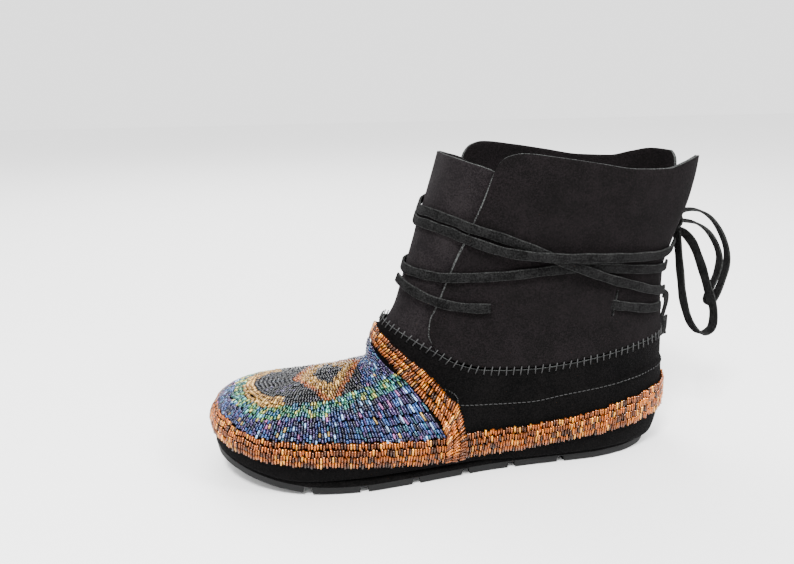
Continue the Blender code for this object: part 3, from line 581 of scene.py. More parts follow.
class Form:
    """The foot dome and the ankle shaft as one smooth closed form."""

    def __init__(self):
        share = 0.5 - 0.5 * np.cos(np.linspace(0.0, math.pi, 241))
        at, outer, inner = columns(OUTLINE)
        self.edge_x = along(share)
        self.outer = blend(share, at, across(outer))
        self.inner = blend(share, at, across(inner))
        self.heel, self.toe = along(HEEL_AXIS), along(TOE_AXIS)
        self.toe_radii = self.end_radii(self.toe, self.edge_x >= self.toe, 1.0)
        self.heel_radii = self.end_radii(self.heel, self.edge_x <= self.heel, -1.0)
        at, height, full = columns(RIDGE)
        self.ridge_x, self.ridge_z, self.ridge_full = along(at), above(height), full
        height, back, front, half, full = columns(SHAFT)
        self.shaft_z = above(height)
        self.shaft = (along(back), along(front), across(half), full)

    def axis_y(self, x):
        share = np.clip((x - self.heel) / (self.toe - self.heel), 0.0, 1.0)
        return AXIS_SHIFT * share * share

    def end_radii(self, centre, chosen, sign):
        x = self.edge_x[chosen]
        y_mid = float(self.axis_y(centre))
        pairs = []
        for edge in (self.outer[chosen], self.inner[chosen]):
            for px, py in zip(x, edge):
                dx, dy = sign * (px - centre), py - y_mid
                pairs.append((math.atan2(dy, dx), math.hypot(dx, dy)))
        pairs.sort()
        return np.array(pairs).T

    def sides(self, x):
        return np.interp(x, self.edge_x, self.outer), np.interp(x, self.edge_x, self.inner)

    def foot_distance(self, x, y, z):
        axis_x = np.clip(x, self.heel, self.toe)
        axis_y = self.axis_y(axis_x)
        dx, dy = x - axis_x, y - axis_y
        outer, inner = self.sides(axis_x)
        edge = np.where(dy > 0, outer - axis_y, axis_y - inner)
        toe_edge = np.interp(np.arctan2(dy, dx), *self.toe_radii)
        heel_edge = np.interp(np.arctan2(dy, -dx), *self.heel_radii)
        reach = np.hypot(dx, dy)
        edge = np.where(dx > 0, toe_edge, np.where(dx < 0, heel_edge, edge))
        edge = edge + BULGE * (1.0 - TOE_TRIM * np.maximum(dx, 0.0) / np.maximum(reach, 1.0))
        ridge = blend(axis_x, self.ridge_x, self.ridge_z)
        full = blend(axis_x, self.ridge_x, self.ridge_full)
        rise = z - WIDEST_HEIGHT
        tall = np.where(rise > 0, ridge - WIDEST_HEIGHT, TUCK_DEPTH)
        ratio = ((reach / edge) ** full + (np.abs(rise) / tall) ** full) ** (1.0 / full)
        return np.hypot(reach, rise) * (1.0 - 1.0 / np.maximum(ratio, 0.05))

    def shaft_level(self, z):
        return [blend(z, self.shaft_z, column) for column in self.shaft]

    def shaft_distance(self, x, y, z):
        back, front, half, full = self.shaft_level(z)
        dx, deep = x - (front + back) / 2.0, (front - back) / 2.0
        ratio = ((np.abs(dx) / deep) ** full + (np.abs(y) / half) ** full) ** (1.0 / full)
        return np.hypot(dx, y) * (1.0 - 1.0 / np.maximum(ratio, 0.05))

    def distance(self, points):
        x, y, z = points.T
        foot = self.foot_distance(x, y, z)
        shaft = self.shaft_distance(x, y, z)
        near = np.maximum(BLEND - np.abs(foot - shaft), 0.0) / BLEND
        return np.minimum(foot, shaft) - near * near * BLEND / 4.0

    def gradient(self, points):
        step = 0.05
        parts = []
        for axis in np.eye(3) * step:
            parts.append((self.distance(points + axis) - self.distance(points - axis)) / (2 * step))
        return np.stack(parts, axis=1)

    def onto(self, points):
        """Moves points to the form's skin and gives the outward normals there."""
        points = np.array(points, float)
        for _ in range(14):
            slope = self.gradient(points)
            size = np.maximum((slope ** 2).sum(axis=1), 0.05)
            move = np.clip(self.distance(points), -6.0, 6.0) / size
            points -= slope * move[:, None]
        slope = self.gradient(points)
        return points, slope / np.linalg.norm(slope, axis=1, keepdims=True)


FORM = Form()


def sole_lift(x):
    """How far the underside of the sole is off the ground."""
    share = (x + HEEL_SETBACK * SOLE_LENGTH) / SOLE_LENGTH
    toe = TOE_SPRING * (np.maximum(share - SPRING_START, 0.0) / SPRING_SPAN) ** 2
    heel = HEEL_ROLL * (np.maximum(ROLL_START - share, 0.0) / ROLL_SPAN) ** 2
    return toe + heel


def ring_point(table, share, side):
    """The place on a ring table at a share of the way from front to back."""
    at, x, y, z = columns(table)
    return np.array([
        blend(share, at, along(x)),
        side * blend(share, at, across(y)),
        blend(share, at, above(z)),
    ])


def edge_point(share, side):
    """The place on the sole's outline at a share of the way from toe to heel."""
    y = FORM.outer if side > 0 else FORM.inner
    x = FORM.edge_x[::-1]
    y = y[::-1]
    run = np.concatenate([[0.0], np.cumsum(np.hypot(np.diff(x), np.diff(y)))])
    at = share * run[-1]
    return float(np.interp(at, run, x)), float(np.interp(at, run, y))


def band_height(x, which):
    at, low, high = columns(BAND)
    return float(blend(x, along(at), above(low if which == "low" else high)))


def feather_height(x):
    return float(sole_lift(x)) + SOLE_THICK + PIECE_GAP


def turn(index, count):
    """Share from front to back and side for a column of a ring that starts at the toe."""
    share = 2.0 * index / count
    return (share, 1.0) if share <= 1.0 else (2.0 - share, -1.0)


def foot_column(share, side):
    """Guide points up the foot: feather edge, band edges, instep front, seam and topline."""
    x, y = edge_point(share, side)
    feather = np.array([x, y, feather_height(x)])
    low = np.array([x, y, band_height(x, "low")])
    high = np.array([x, y, band_height(x, "high")])
    seam = ring_point(SEAM, share, side)
    if share <= INSTEP_FRONT[-1][0] + 1e-6:
        front = ring_point(INSTEP_FRONT, share, side)
    else:
        front = high + (seam - high) * 0.7
    return feather, low, high, front, seam, ring_point(TOPLINE, share, side)


def rows_between(start, end, count, squeeze=1.0):
    """Points after the start up to the end; squeeze over 1 crowds them towards the end."""
    shares = 1.0 - (1.0 - np.arange(1, count + 1) / count) ** squeeze
    return [start + (end - start) * s for s in shares]


def shaft_point(angle, z):
    """A guide point on the shaft; angle 0 is the front and positive turns to the outer side."""
    back, front, half, full = FORM.shaft_level(z)
    c, s = np.cos(angle), np.sin(angle)
    x = (front + back) / 2.0 + (front - back) / 2.0 * np.sign(c) * np.abs(c) ** (2.0 / full)
    return np.array([x, half * np.sign(s) * np.abs(s) ** (2.0 / full), z])


def shaft_angle(x, z):
    back, front, _, full = FORM.shaft_level(z)
    c = np.clip((x - (front + back) / 2.0) / ((front - back) / 2.0), -1.0, 1.0)
    return float(np.arccos(np.sign(c) * np.abs(c) ** (full / 2.0)))


def topline_height(x):
    _, at, _, height = columns(TOPLINE)
    order = np.argsort(at)
    return float(blend(x, along(at[order]), above(height[order])))


def collar_top_height(x):
    at, height = columns(COLLAR_TOP)
    return float(blend(x, along(at), above(height)))


def flap_edge(z):
    height, at = columns(FLAP_EDGE)
    return float(blend(z, above(height), along(at)))


print("the form's skin passes", np.round(FORM.onto([[0, 0, 200]])[0][0], 1), "above the heel")

# %% [markdown]
# ## The free lace
#
# The lace is a strip cut from suede, 5 mm wide and 1.4 mm thick, with a paler, rougher cut edge.
# It could be a curve with a bevel, but a flat strip has to face the right way all along, so
# each one is a mesh that sweeps a rounded rectangle, and a direction across the strip is
# given for every point. The same sweep later makes the turns round the ankle.

# %% Lace sweep
SECTION_ROUND = 0.35


def lace(name, centre, flat, width=LACE_WIDTH, thick=LACE_THICK, looks=None):
    """A flat strip along a line of points, with its cut edges in the paler suede."""
    centre = np.asarray(centre, float)
    run = np.gradient(centre, axis=0)
    run /= np.linalg.norm(run, axis=1, keepdims=True)
    wide = flat - (flat * run).sum(axis=1, keepdims=True) * run
    wide /= np.linalg.norm(wide, axis=1, keepdims=True)
    thin = np.cross(run, wide)
    w, t, r = width / 2.0, thick / 2.0, SECTION_ROUND
    section = [(w - r, t), (0.0, t), (r - w, t), (-w, t - r), (-w, r - t),
               (r - w, -t), (0.0, -t), (w - r, -t), (w, r - t), (w, t - r)]
    size, count = len(section), len(centre)
    wobble = 1.0 + 0.05 * np.sin(np.arange(count) * 0.55 + len(name))
    rings = [centre + wide * (a * wobble)[:, None] + thin * b
             for a, b in ((np.full(count, p), q) for p, q in section)]
    verts = np.stack(rings, axis=1).reshape(-1, 3)
    faces = [tuple(reversed(range(size)))]
    edge = [1]
    for i in range(count - 1):
        for c in range(size):
            a, b = size * i + c, size * i + (c + 1) % size
            faces.append((a, b, b + size, a + size))
            edge.append(1 if c in (2, 3, 4, 7, 8, 9) else 0)
    faces.append(tuple(range(size * (count - 1), size * count)))
    edge.append(1)
    made = mesh_object(name, verts, faces, looks or [LACE_SUEDE, LACE_EDGE])
    made.data.polygons.foreach_set("material_index", edge)
    return made


def route_length(centre):
    return float(np.linalg.norm(np.diff(centre, axis=0), axis=1).sum())


def free_lace(name, node, centre, flat):
    made = lace(name, centre, flat)
    dress(made, "lace_suede", node)
    print(name, "is", round(route_length(centre), 1), "mm long")
    return made


# %% Bow, loops and ends
CORD_DETAIL = 1.6


def hanging(name, node, route, start_flat, end_flat):
    """A loop that turns its flat side from one direction to another as it hangs."""
    centre = smooth_route(route, CORD_DETAIL)
    twist = np.linspace(0.0, 1.0, len(centre))[:, None]
    flat = np.array(start_flat, float) * (1.0 - twist) + np.array(end_flat, float) * twist
    return free_lace(name, node, centre, flat)


def lying(route):
    """Centre line and direction across for a lace end that lies on the shaft."""
    centre = smooth_route(route, CORD_DETAIL)
    skin, normal = FORM.onto(centre)
    centre = skin + normal * (LACE_LIFT + LACE_THICK / 2.0)
    return centre, np.cross(normal, np.gradient(centre, axis=0))


hanging("bow_loop_outer", "lace_bow_outer", BOW_LOOP_OUTER, BOW_OUTER_FLAT, (0.35, -1.0, 0.2))
hanging("bow_loop_hanging", "lace_bow_hanging", BOW_LOOP_HANGING, (1.0, -0.45, 0.2), BOW_HANGING_FLAT)
hanging("lower_back_loop", "lace_lower_loop", LOWER_LOOP, LOWER_LOOP_FLAT, LOWER_LOOP_FLAT)
front_centre, front_flat = lying(FRONT_END)
free_lace("front_lace_end", "lace_front_end", front_centre, front_flat)
# The slot end goes on at both ends, through the slot and on round the shaft
SLOT_DIP, SLOT_DIP_POINTS = 2.8, 3.0
SLOT_REST = ((5.0, 38.2, 89.4),) + SLOT_END + ((-25.5, 24.0, 83.4), (-29.5, 18.5, 83.2))
slot_centre, slot_flat = lying(SLOT_REST)
_, slot_out = FORM.onto(slot_centre)
dip = np.clip(1.0 - np.arange(len(slot_centre)) / SLOT_DIP_POINTS, 0.0, 1.0)[:, None]
slot_centre = slot_centre - slot_out * dip * SLOT_DIP
dress(lace("slot_lace_end", slot_centre, slot_flat), "lace_suede", "lace_slot_end")

# %% Turns round the ankle
FRONT_SINK = 2.6  # between the flaps the lace drops onto the tongue
SINK_START, SINK_REACH = 1.0, 7.0  # millimetres past the flap's edge


def turn_of_lace(name, node, table):
    x, y, z, layers = columns(table)
    route = np.stack([along(x), across(y), above(z), layers], axis=1)
    route = smooth_route(route, CORD_DETAIL)
    skin, normal = FORM.onto(route[:, :3])
    lift = LACE_LIFT + LACE_THICK / 2.0 + route[:, 3] * LAYER
    past_flap = np.array([p[0] - flap_edge(p[2]) for p in skin])
    sunk = np.clip((past_flap - SINK_START) / SINK_REACH, 0.0, 1.0)
    lift = lift - FRONT_SINK * sunk * sunk * (3.0 - 2.0 * sunk)
    centre = skin + normal * lift[:, None]
    return dress(lace(name, centre, np.cross(normal, np.gradient(centre, axis=0))), "lace_suede", node)


turn_of_lace("lace_turn_high", "lace_strand_high", STRAND_HIGH)
turn_of_lace("lace_turn_middle", "lace_strand_mid", STRAND_MID)
turn_of_lace("lace_turn_low", "lace_strand_low", STRAND_LOW)

# %% [markdown]
# ## The knot
#
# The bow's knot is two short wraps of the same strip pulled tight. Tying it in a simulation would
# give a true knot, but nobody sees its inside, so a ring of lace is wrapped round the crossing of
# the loops, over a small core, and the piece stays about as large as the solid it replaces.


# %% Knot
def knot_wrap(tilt, reach, shift):
    turns = np.linspace(0.0, 2.0 * math.pi, 25)
    place = np.array(KNOT_PLACE) + shift
    rx, rz = KNOT_SIZE[0] / 2.0 * reach, KNOT_SIZE[2] / 2.0 * reach
    ring = np.stack([rx * np.cos(turns), 0.6 * np.sin(2 * turns), rz * np.sin(turns)], axis=1)
    c, s = math.cos(tilt), math.sin(tilt)
    turned = ring @ np.array([[c, s, 0.0], [-s, c, 0.0], [0.0, 0.0, 1.0]])
    flat = np.tile(np.array([-s, c, 0.0]), (len(turns), 1))
    return turned + place, flat


def joined(name, parts):
    """Joins finished pieces into one object, keeping the first one's materials."""
    verts, faces, looks = [], [], []
    for part in parts:
        start = len(verts)
        verts += [tuple(v.co * 1000.0) for v in part.data.vertices]
        faces += [tuple(start + k for k in p.vertices) for p in part.data.polygons]
        looks += [p.material_index for p in part.data.polygons]
    materials = list(parts[0].data.materials)
    for part in parts:
        bpy.data.objects.remove(part, do_unlink=True)
    made = mesh_object(name, verts, faces, materials)
    made.data.polygons.foreach_set("material_index", looks)
    return made


wraps = []
for k, (tilt, reach, shift) in enumerate((
        (0.25, 0.86, (0.0, -1.6, 0.6)), (-0.2, 0.84, (0.2, 2.0, -0.3)), (0.05, 0.66, (0.0, 0.0, 0.0)))):
    ring, flat = knot_wrap(tilt, reach, np.array(shift))
    wraps.append(lace(f"wrap_{k}", ring, flat, width=4.6, thick=1.3))
dress(joined("bow_knot", wraps), "lace_suede", "lace_knot")

# %% [markdown]
# ## Sheets of suede
#
# The upper, the collar and the tongue are flat hides that were cut, moulded and sewn. Each is
# built the same way: a fine grid of guide points is pushed onto the form, moved out and in by
# the hide's two faces, and closed round its rim, where the paler cut edge shows. Creases
# are soft hollows and ridges that are added to the outward move, one row of a table for each.


# %% Sheet with a real wall
def thick_sheet(name, skin, normal, quads, outer, inner, looks, rim=0.35):
    """Closes a grid of quads into a wall. The rim is rounded with one row between the faces."""
    skin, normal = np.asarray(skin, float), np.asarray(normal, float)
    count = len(skin)
    uses = {}
    for q in quads:
        for a, b in zip(q, q[1:] + q[:1]):
            uses.setdefault((min(a, b), max(a, b)), []).append((a, b))
    border = [pairs[0] for pairs in uses.values() if len(pairs) == 1]
    middle = skin + normal * ((np.asarray(outer) + np.asarray(inner)) / 2.0)[:, None]
    away = np.zeros((count, 3))
    for a, b in border:
        out = np.cross(skin[b] - skin[a], normal[a])
        size = np.linalg.norm(out)
        if size > 1e-9:
            away[a] += out / size
            away[b] += out / size
    length = np.maximum(np.linalg.norm(away, axis=1, keepdims=True), 1e-9)
    middle = middle + away / length * rim
    verts = np.concatenate([
        skin + normal * np.asarray(outer)[:, None], skin + normal * np.asarray(inner)[:, None], middle])
    faces = [tuple(q) for q in quads]
    faces += [tuple(count + k for k in reversed(q)) for q in quads]
    looks_at = [0] * (2 * len(quads))
    for a, b in border:
        faces.append((b, a, 2 * count + a, 2 * count + b))
        faces.append((2 * count + b, 2 * count + a, count + a, count + b))
        looks_at += [1, 1]
    made = mesh_object(name, verts, faces, looks)
    made.data.polygons.foreach_set("material_index", looks_at)
    loose_free(made)
    return made


def loose_free(made):
    """Drops the guide points that no face uses."""
    used = set()
    for p in made.data.polygons:
        used.update(p.vertices)
    keep = sorted(used)
    if len(keep) == len(made.data.vertices):
        return
    new = {old: k for k, old in enumerate(keep)}
    verts = [tuple(made.data.vertices[k].co) for k in keep]
    faces = [tuple(new[k] for k in p.vertices) for p in made.data.polygons]
    looks_at = [p.material_index for p in made.data.polygons]
    materials = list(made.data.materials)
    mesh = bpy.data.meshes.new(made.name)
    mesh.from_pydata(verts, [], faces)
    for look in materials:
        mesh.materials.append(look)
    mesh.polygons.foreach_set("material_index", looks_at)
    mesh.polygons.foreach_set("use_smooth", [True] * len(mesh.polygons))
    made.data = mesh


def creases(points, table):
    """Outward move from soft hollows and ridges: start, end, half width and height in mm."""
    move = np.zeros(len(points))
    for a, b, half, height in table:
        a, b = np.array(a, float), np.array(b, float)
        t = np.clip(((points - a) @ (b - a)) / ((b - a) @ (b - a)), 0.0, 1.0)
        far = np.linalg.norm(points - (a + t[:, None] * (b - a)), axis=1)
        fade = np.sin(np.clip(t, 0.02, 0.98) * math.pi) ** 0.6
        move += height * fade * np.exp(-((far / half) ** 2))
    return move


# %% Creases of the upper and the collar
UPPER_CREASES = (
    ((100, 30, 62), (70, 36, 56), 5.0, -1.0),
    ((104, 26, 68), (78, 34, 63), 4.0, 0.7),
    ((60, 37, 44), (20, 37, 40), 6.0, -0.6),
    ((-20, 26, 52), (5, 34, 44), 6.0, -0.8),
    ((100, -30, 62), (70, -36, 56), 5.0, -1.0),
    ((-20, -26, 52), (5, -34, 44), 6.0, -0.8),
    ((40, 40, 22), (85, 38, 20), 6.0, -0.5),
    ((160, 45, 17), (185, 36, 19), 6.0, -0.4),
)
COLLAR_CREASES = (
    ((92, 30, 84), (60, 34, 92), 6.0, -0.9),
    ((88, 30, 98), (40, 36, 86), 7.0, 0.8),
    ((70, 34, 78), (20, 36, 76), 6.0, -1.1),
    ((20, 38, 118), (30, 36, 84), 9.0, -0.8),
    ((55, 38, 150), (20, 40, 142), 10.0, -0.7),
    ((-20, 34, 150), (-26, 30, 118), 8.0, -1.2),
    ((5, 40, 160), (0, 39, 128), 8.0, 0.9),
    ((-28, 24, 100), (-8, 34, 82), 7.0, -1.0),
    ((60, 37, 120), (30, 39, 112), 5.0, -0.5),
    ((60, -37, 130), (10, -39, 110), 9.0, -0.9),
    ((88, -30, 98), (40, -36, 86), 7.0, 0.8),
    ((-20, -34, 150), (-26, -30, 118), 8.0, -1.0),
)
PLY_DROP = 0.9  # millimetres over which the lower quarter's cut edge falls to the band above

# %% [markdown]
# ## The upper
#
# One hide is wrapped under and round the foot, and a second ply covers the vamp and the lower
# quarter up to a cut edge with a line of stitching. The grid's rows run from the feather
# edge at the sole up to the topline, and its columns run round the foot.

# %% Upper
AROUND = 280


def upper_guide():
    rows = []
    for i in range(AROUND):
        feather, low, high, front, seam, topline = foot_column(*turn(i, AROUND))
        column = [feather] + rows_between(feather, low, 6) + rows_between(low, high, 7)
        column += rows_between(high, front, 26) + rows_between(front, seam, 8)
        drop = seam + (topline - seam) / np.linalg.norm(topline - seam) * PLY_DROP
        column += [drop] + rows_between(drop, topline, 9)
        rows.append(column)
    proud = np.full(len(rows[0]), LAYER_STEP)
    proud[-10:] = 0.0
    return np.array(rows), proud


guide, proud = upper_guide()
columns_count, rows_count = guide.shape[:2]
skin, normal = FORM.onto(guide.reshape(-1, 3))
move = creases(skin, UPPER_CREASES)
fade = np.tile(np.clip((np.arange(rows_count)[::-1]) / 6.0, 0.0, 1.0), columns_count)
move *= fade
outer = np.tile(proud, columns_count) + move
quads = []
for i in range(columns_count):
    k = (i + 1) % columns_count
    for j in range(rows_count - 1):
        quads.append([i * rows_count + j, k * rows_count + j, k * rows_count + j + 1, i * rows_count + j + 1])
upper = thick_sheet("upper_suede", skin, normal, quads, outer, move - UPPER_WALL,
                    [UPPER_SUEDE, CUT_EDGE], rim=0.2)
dress(upper, "suede_upper", "upper")

# %% [markdown]
# ## The collar
#
# The ankle wrap is one hide from flap to flap, with a slit and two rounded corners at the back
# and a short slot for the lace on each side. The openings could be cut with a Boolean, which
# leaves long thin faces. Here the grid itself stops at the slit's edge and skips the slots.

# %% Collar
HALF_AROUND, UPWARD = 118, 64
SLIT_CORNER, SLIT_FLARE, SLIT_SPARE = 7.0, 3.0, 8.0
SLOT_SPARE, WELD_NEAR, CREASE_SHARE = 1.0, 0.3, 0.8
COLUMN_CROWD = 1.12  # over 1 crowds the columns towards the flap's edge
SEWN_UNDER = 100.0  # height below which a level rim is the collar's sewn lower edge


def slit_half(z):
    """Half width of the back slit at a height, 0 below it, rounded out at the top corner."""
    low, high = above(BACK_SLIT_BASE), above(COLLAR_TOP[0][1])
    if z <= low:
        return 0.0
    up = (z - low) / (high + SLIT_SPARE - low)
    flare = max(0.0, z - (high - SLIT_CORNER)) / SLIT_CORNER
    return BACK_SLIT[0] + (BACK_SLIT[1] - BACK_SLIT[0]) * up + SLIT_FLARE * flare ** 3


def collar_column(share, side):
    edge_low, edge_high = above(FLAP_EDGE[0][0]) + SEAM_GAP, above(FLAP_EDGE[-1][0])
    column = []
    for j in range(UPWARD + 1):
        up = j / UPWARD
        z_edge = edge_low + (edge_high - edge_low) * up
        x_edge = flap_edge(z_edge)
        z = z_edge
        first = shaft_angle(x_edge, z_edge)
        for _ in range(5):
            back, front, half, full = FORM.shaft_level(z)
            gap = min(slit_half(z) / half, 0.9)
            last = math.pi - math.asin(gap ** (full / 2.0)) if gap > 0 else math.pi
            angle = first + (last - first) * share
            x = float(shaft_point(angle, z)[0])
            z = topline_height(x) + SEAM_GAP + (collar_top_height(x) - topline_height(x) - SEAM_GAP) * up
        if share < 1e-6:
            z = z_edge
        point = shaft_point(angle, z)
        point[1] *= side
        column.append(point)
    return column


def half_collar(side):
    shares = (np.arange(HALF_AROUND + 1) / HALF_AROUND) ** COLUMN_CROWD
    return np.array([collar_column(share, side) for share in shares])


outer_half, inner_half = half_collar(1.0), half_collar(-1.0)
rows_n = UPWARD + 1
points = np.concatenate([outer_half.reshape(-1, 3), inner_half.reshape(-1, 3)])
skin, normal = FORM.onto(points)
weld = {}
start_inner = (HALF_AROUND + 1) * rows_n
for j in range(rows_n):
    a, b = HALF_AROUND * rows_n + j, start_inner + HALF_AROUND * rows_n + j
    if np.linalg.norm(skin[a] - skin[b]) < WELD_NEAR:
        weld[b] = a
open_cells = {}
for half, start in ((outer_half, 0), (inner_half, start_inner)):
    level = half[HALF_AROUND // 2, :, 2]
    inside = (level >= above(SLOT_LOW) - SLOT_SPARE) & (level <= above(SLOT_HIGH) + SLOT_SPARE)
    slot_rows = np.flatnonzero(inside)
    k = int(np.median([np.argmin(np.abs(half[:, j, 0] - along(SLOT_AT))) for j in slot_rows]))
    open_cells[start] = {(k, int(j)) for j in slot_rows[:-1]}
quads = []
for start, flip in ((0, False), (start_inner, True)):
    for i in range(HALF_AROUND):
        for j in range(rows_n - 1):
            if (i, j) in open_cells[start]:
                continue
            a = start + i * rows_n + j
            q = [a, a + rows_n, a + rows_n + 1, a + 1]
            q = [weld.get(v, v) for v in q]
            quads.append(q if flip else q[::-1])
move = creases(skin, COLLAR_CREASES) * CREASE_SHARE
collar = thick_sheet("collar_suede", skin, normal, quads, move, move - COLLAR_WALL,
                     [COLLAR_SUEDE, CUT_EDGE], rim=0.3)
for k, q in enumerate(quads):
    if min(q) % start_inner < rows_n:
        collar.data.polygons[k].material_index = 1  # the frayed strip along each flap's edge
collar.data.flip_normals()  # its columns run the other way round than the upper's
for face in collar.data.polygons:
    if face.material_index == 1 and abs(face.normal.z) > 0.5 and face.center.z < SEWN_UNDER / 1000.0:
        face.material_index = 0  # the sewn lower edge isn't raw
dress(collar, "suede_collar", "collar")

# %% [markdown]
# ## The tongue
#
# A plain panel behind both flaps. It closes the front of the ankle and shows above it, so its
# rounded top corners matter more than its hidden lower edge.

# %% Tongue
TONGUE_ACROSS, TONGUE_UP = 72, 60


def tongue_guide():
    share_at, height = columns(TONGUE_TOP)
    rows = []
    for i in range(TONGUE_ACROSS + 1):
        share = 2.0 * i / TONGUE_ACROSS - 1.0
        angle = share * TONGUE_REACH
        top = float(blend(abs(share), share_at, above(height)))
        column = []
        for j in range(TONGUE_UP + 1):
            z = top
            for _ in range(5):
                low = topline_height(float(shaft_point(angle, z)[0])) - TONGUE_TUCK
                z = low + (top - low) * j / TONGUE_UP
            column.append(shaft_point(angle, z))
        rows.append(column)
    return np.array(rows)


guide = tongue_guide()
across_n, up_n = guide.shape[:2]
skin, normal = FORM.onto(guide.reshape(-1, 3))
quads = []
for i in range(across_n - 1):
    for j in range(up_n - 1):
        a = i * up_n + j
        quads.append([a, a + up_n, a + up_n + 1, a + 1])
outer = np.full(len(skin), -max(COLLAR_WALL, UPPER_WALL) - TONGUE_GAP)
tongue = thick_sheet("tongue_suede", skin, normal, quads, outer, outer - TONGUE_WALL,
                     [TONGUE_SUEDE, CUT_EDGE], rim=0.3)
dress(tongue, "suede_tongue", "tongue")

# %% [markdown]
# ## Rubber sole and footbed
#
# The outsole is moulded rubber, thin and nearly flat, with grooves pressed across the tread and a
# matt, slightly dusty side. It could be a curve with a bevel, but its edge, its toe spring and
# its grooves all change along the foot, so it is lofted through cross sections, as the mould was cut.


# %% Moulded rubber and leather board
def rubber():
    """Moulded black rubber. It is matt with a weak, wide highlight and a grey bloom of dust."""
    made, tree, surface = new_material("rubber_moulded_black")
    place = add(tree, "ShaderNodeTexCoord").outputs["Object"]
    tone = ramp(tree, noise(tree, place, 22.0, 5.0, in_Roughness=0.6), 0.35, 0.75, "040404", "0b0b0c")
    tree.links.new(tone, surface.inputs["Base Color"])
    bump(tree, surface, noise(tree, place, 0.6, 2.0), 0.25, 0.0002)
    set_inputs(surface, {"Roughness": 0.7, "Specular IOR Level": 0.2, "IOR": 1.52})
    return made


RUBBER = rubber()
BOARD = suede("footbed_brushed_lining", "241f1c", "3a332e", nap_mm=0.6, cloud_mm=20.0, sheen=0.1)

# %% Outsole
GROOVES = (0.247, 0.362, 0.468, 0.580, 0.692, 0.808)
GROOVE_WIDTH, GROOVE_DRAFT, SOLE_CHAMFER = 4.6, 0.6, 0.9
RUBBER_THICK = 3.8  # the edge above it is wrapped in the upper's suede


def tread_height(x):
    """The underside: the ground line with grooves pressed up into it."""
    for share in GROOVES:
        near = GROOVE_WIDTH / 2.0 - abs(x - along(share))
        if near > 0:
            return float(sole_lift(x)) + GROOVE_DEPTH * min(1.0, near / GROOVE_DRAFT)
    return float(sole_lift(x))


def loft(name, stations, ring_at, look):
    rings = [ring_at(x) for x in stations]
    size = len(rings[0])
    verts = [(x, y, z) for x, ring in zip(stations, rings) for y, z in ring]
    faces = []
    for i in range(len(stations) - 1):
        for c in range(size):
            a, b = i * size + c, i * size + (c + 1) % size
            faces.append((a, a + size, b + size, b))
    faces.append(tuple(range(size)))
    end = (len(stations) - 1) * size
    faces.append(tuple(reversed(range(end, end + size))))
    return mesh_object(name, verts, faces, look, smooth=False)


def outsole_ring(x):
    outer_y, inner_y = (float(v) for v in FORM.sides(x))
    low, high = tread_height(x), float(sole_lift(x)) + SOLE_THICK
    c = min(SOLE_CHAMFER, (outer_y - inner_y) * 0.2)
    corner = [(0.0, 1.0), (0.29, 0.29), (1.0, 0.0)]
    ring = [(outer_y - c * b, high - c * a) for a, b in corner]
    split = float(sole_lift(x)) + RUBBER_THICK
    ring += [(outer_y, split + 0.15), (outer_y - 0.12, split)]
    ring += [(outer_y - c * b, low + c * a) for a, b in reversed(corner)]
    ring += [(inner_y + c * b, low + c * a) for a, b in corner]
    ring += [(inner_y + 0.12, split), (inner_y, split + 0.15)]
    ring += [(inner_y + c * b, high - c * a) for a, b in reversed(corner)]
    return ring


shares = 0.5 - 0.5 * np.cos(np.linspace(0.055, math.pi - 0.055, 110))
edges = [along(g) + k for g in GROOVES for k in (
    -GROOVE_WIDTH / 2, GROOVE_DRAFT - GROOVE_WIDTH / 2, GROOVE_WIDTH / 2 - GROOVE_DRAFT, GROOVE_WIDTH / 2)]
free = [x for x in along(shares) if min(abs(x - e) for e in edges) > 0.8]
outsole = loft("outsole_rubber", sorted(float(v) for v in free + edges), outsole_ring, RUBBER)
outsole.data.materials.append(UPPER_SUEDE)
for face in outsole.data.polygons:
    x, _, z = face.center * 1000.0
    wrapped = z > float(sole_lift(x)) + RUBBER_THICK + 0.1
    face.material_index = 1 if wrapped and abs(face.normal.x) < 0.98 else 0
dress(outsole, "black_rubber", "outsole")

# %% Footbed
INSOLE_INSET = BULGE + UPPER_WALL - PIECE_GAP
INSOLE_GAP, INSOLE_TAPER, INSOLE_TIP, INSOLE_END = 0.6, 6.0, 0.25, 0.12
INSOLE_CHAMFER = 0.5


def footbed_ring(x):
    start, end = along(0.0) + INSOLE_INSET * 0.9, along(1.0) - INSOLE_INSET * 1.1
    outer_y, inner_y = (float(v) for v in FORM.sides(x))
    stretch = (x - start) / (end - start)
    ends = min(1.0, INSOLE_TAPER * stretch * (1.0 - stretch) + INSOLE_TIP)
    middle = (outer_y + inner_y) / 2.0
    left = (outer_y - INSOLE_INSET) * ends + middle * (1 - ends)
    right = (inner_y + INSOLE_INSET) * ends + middle * (1 - ends)
    low = float(sole_lift(x)) + SOLE_THICK + INSOLE_GAP
    high = low + INSOLE_THICK
    c = INSOLE_CHAMFER
    return [(left - c, high), (left, high - c), (left, low),
            (right, low), (right, high - c), (right + c, high)]


start, end = along(0.0) + INSOLE_INSET * 0.9, along(1.0) - INSOLE_INSET * 1.1
shares = 0.5 - 0.5 * np.cos(np.linspace(INSOLE_END, math.pi - INSOLE_END, 60))
footbed = loft("footbed", [float(start + (end - start) * s) for s in shares], footbed_ring, BOARD)
dress(footbed, "insole_lining", "insole")

# %% [markdown]
# ## Bugle beads
#
# Each bead is a short tube of glass about 3 mm long, coated with a thin metal film: copper
# bronze round the sole and over the instep, and an oil-slick film of blue, violet, teal and
# green on the vamp. Placing thousands by hand is out of the question, and a texture would not
# throw the small hard glints. So the script works out every bead's place in courses that
# follow the boot, as a sewer would, and Geometry Nodes puts a bead there.


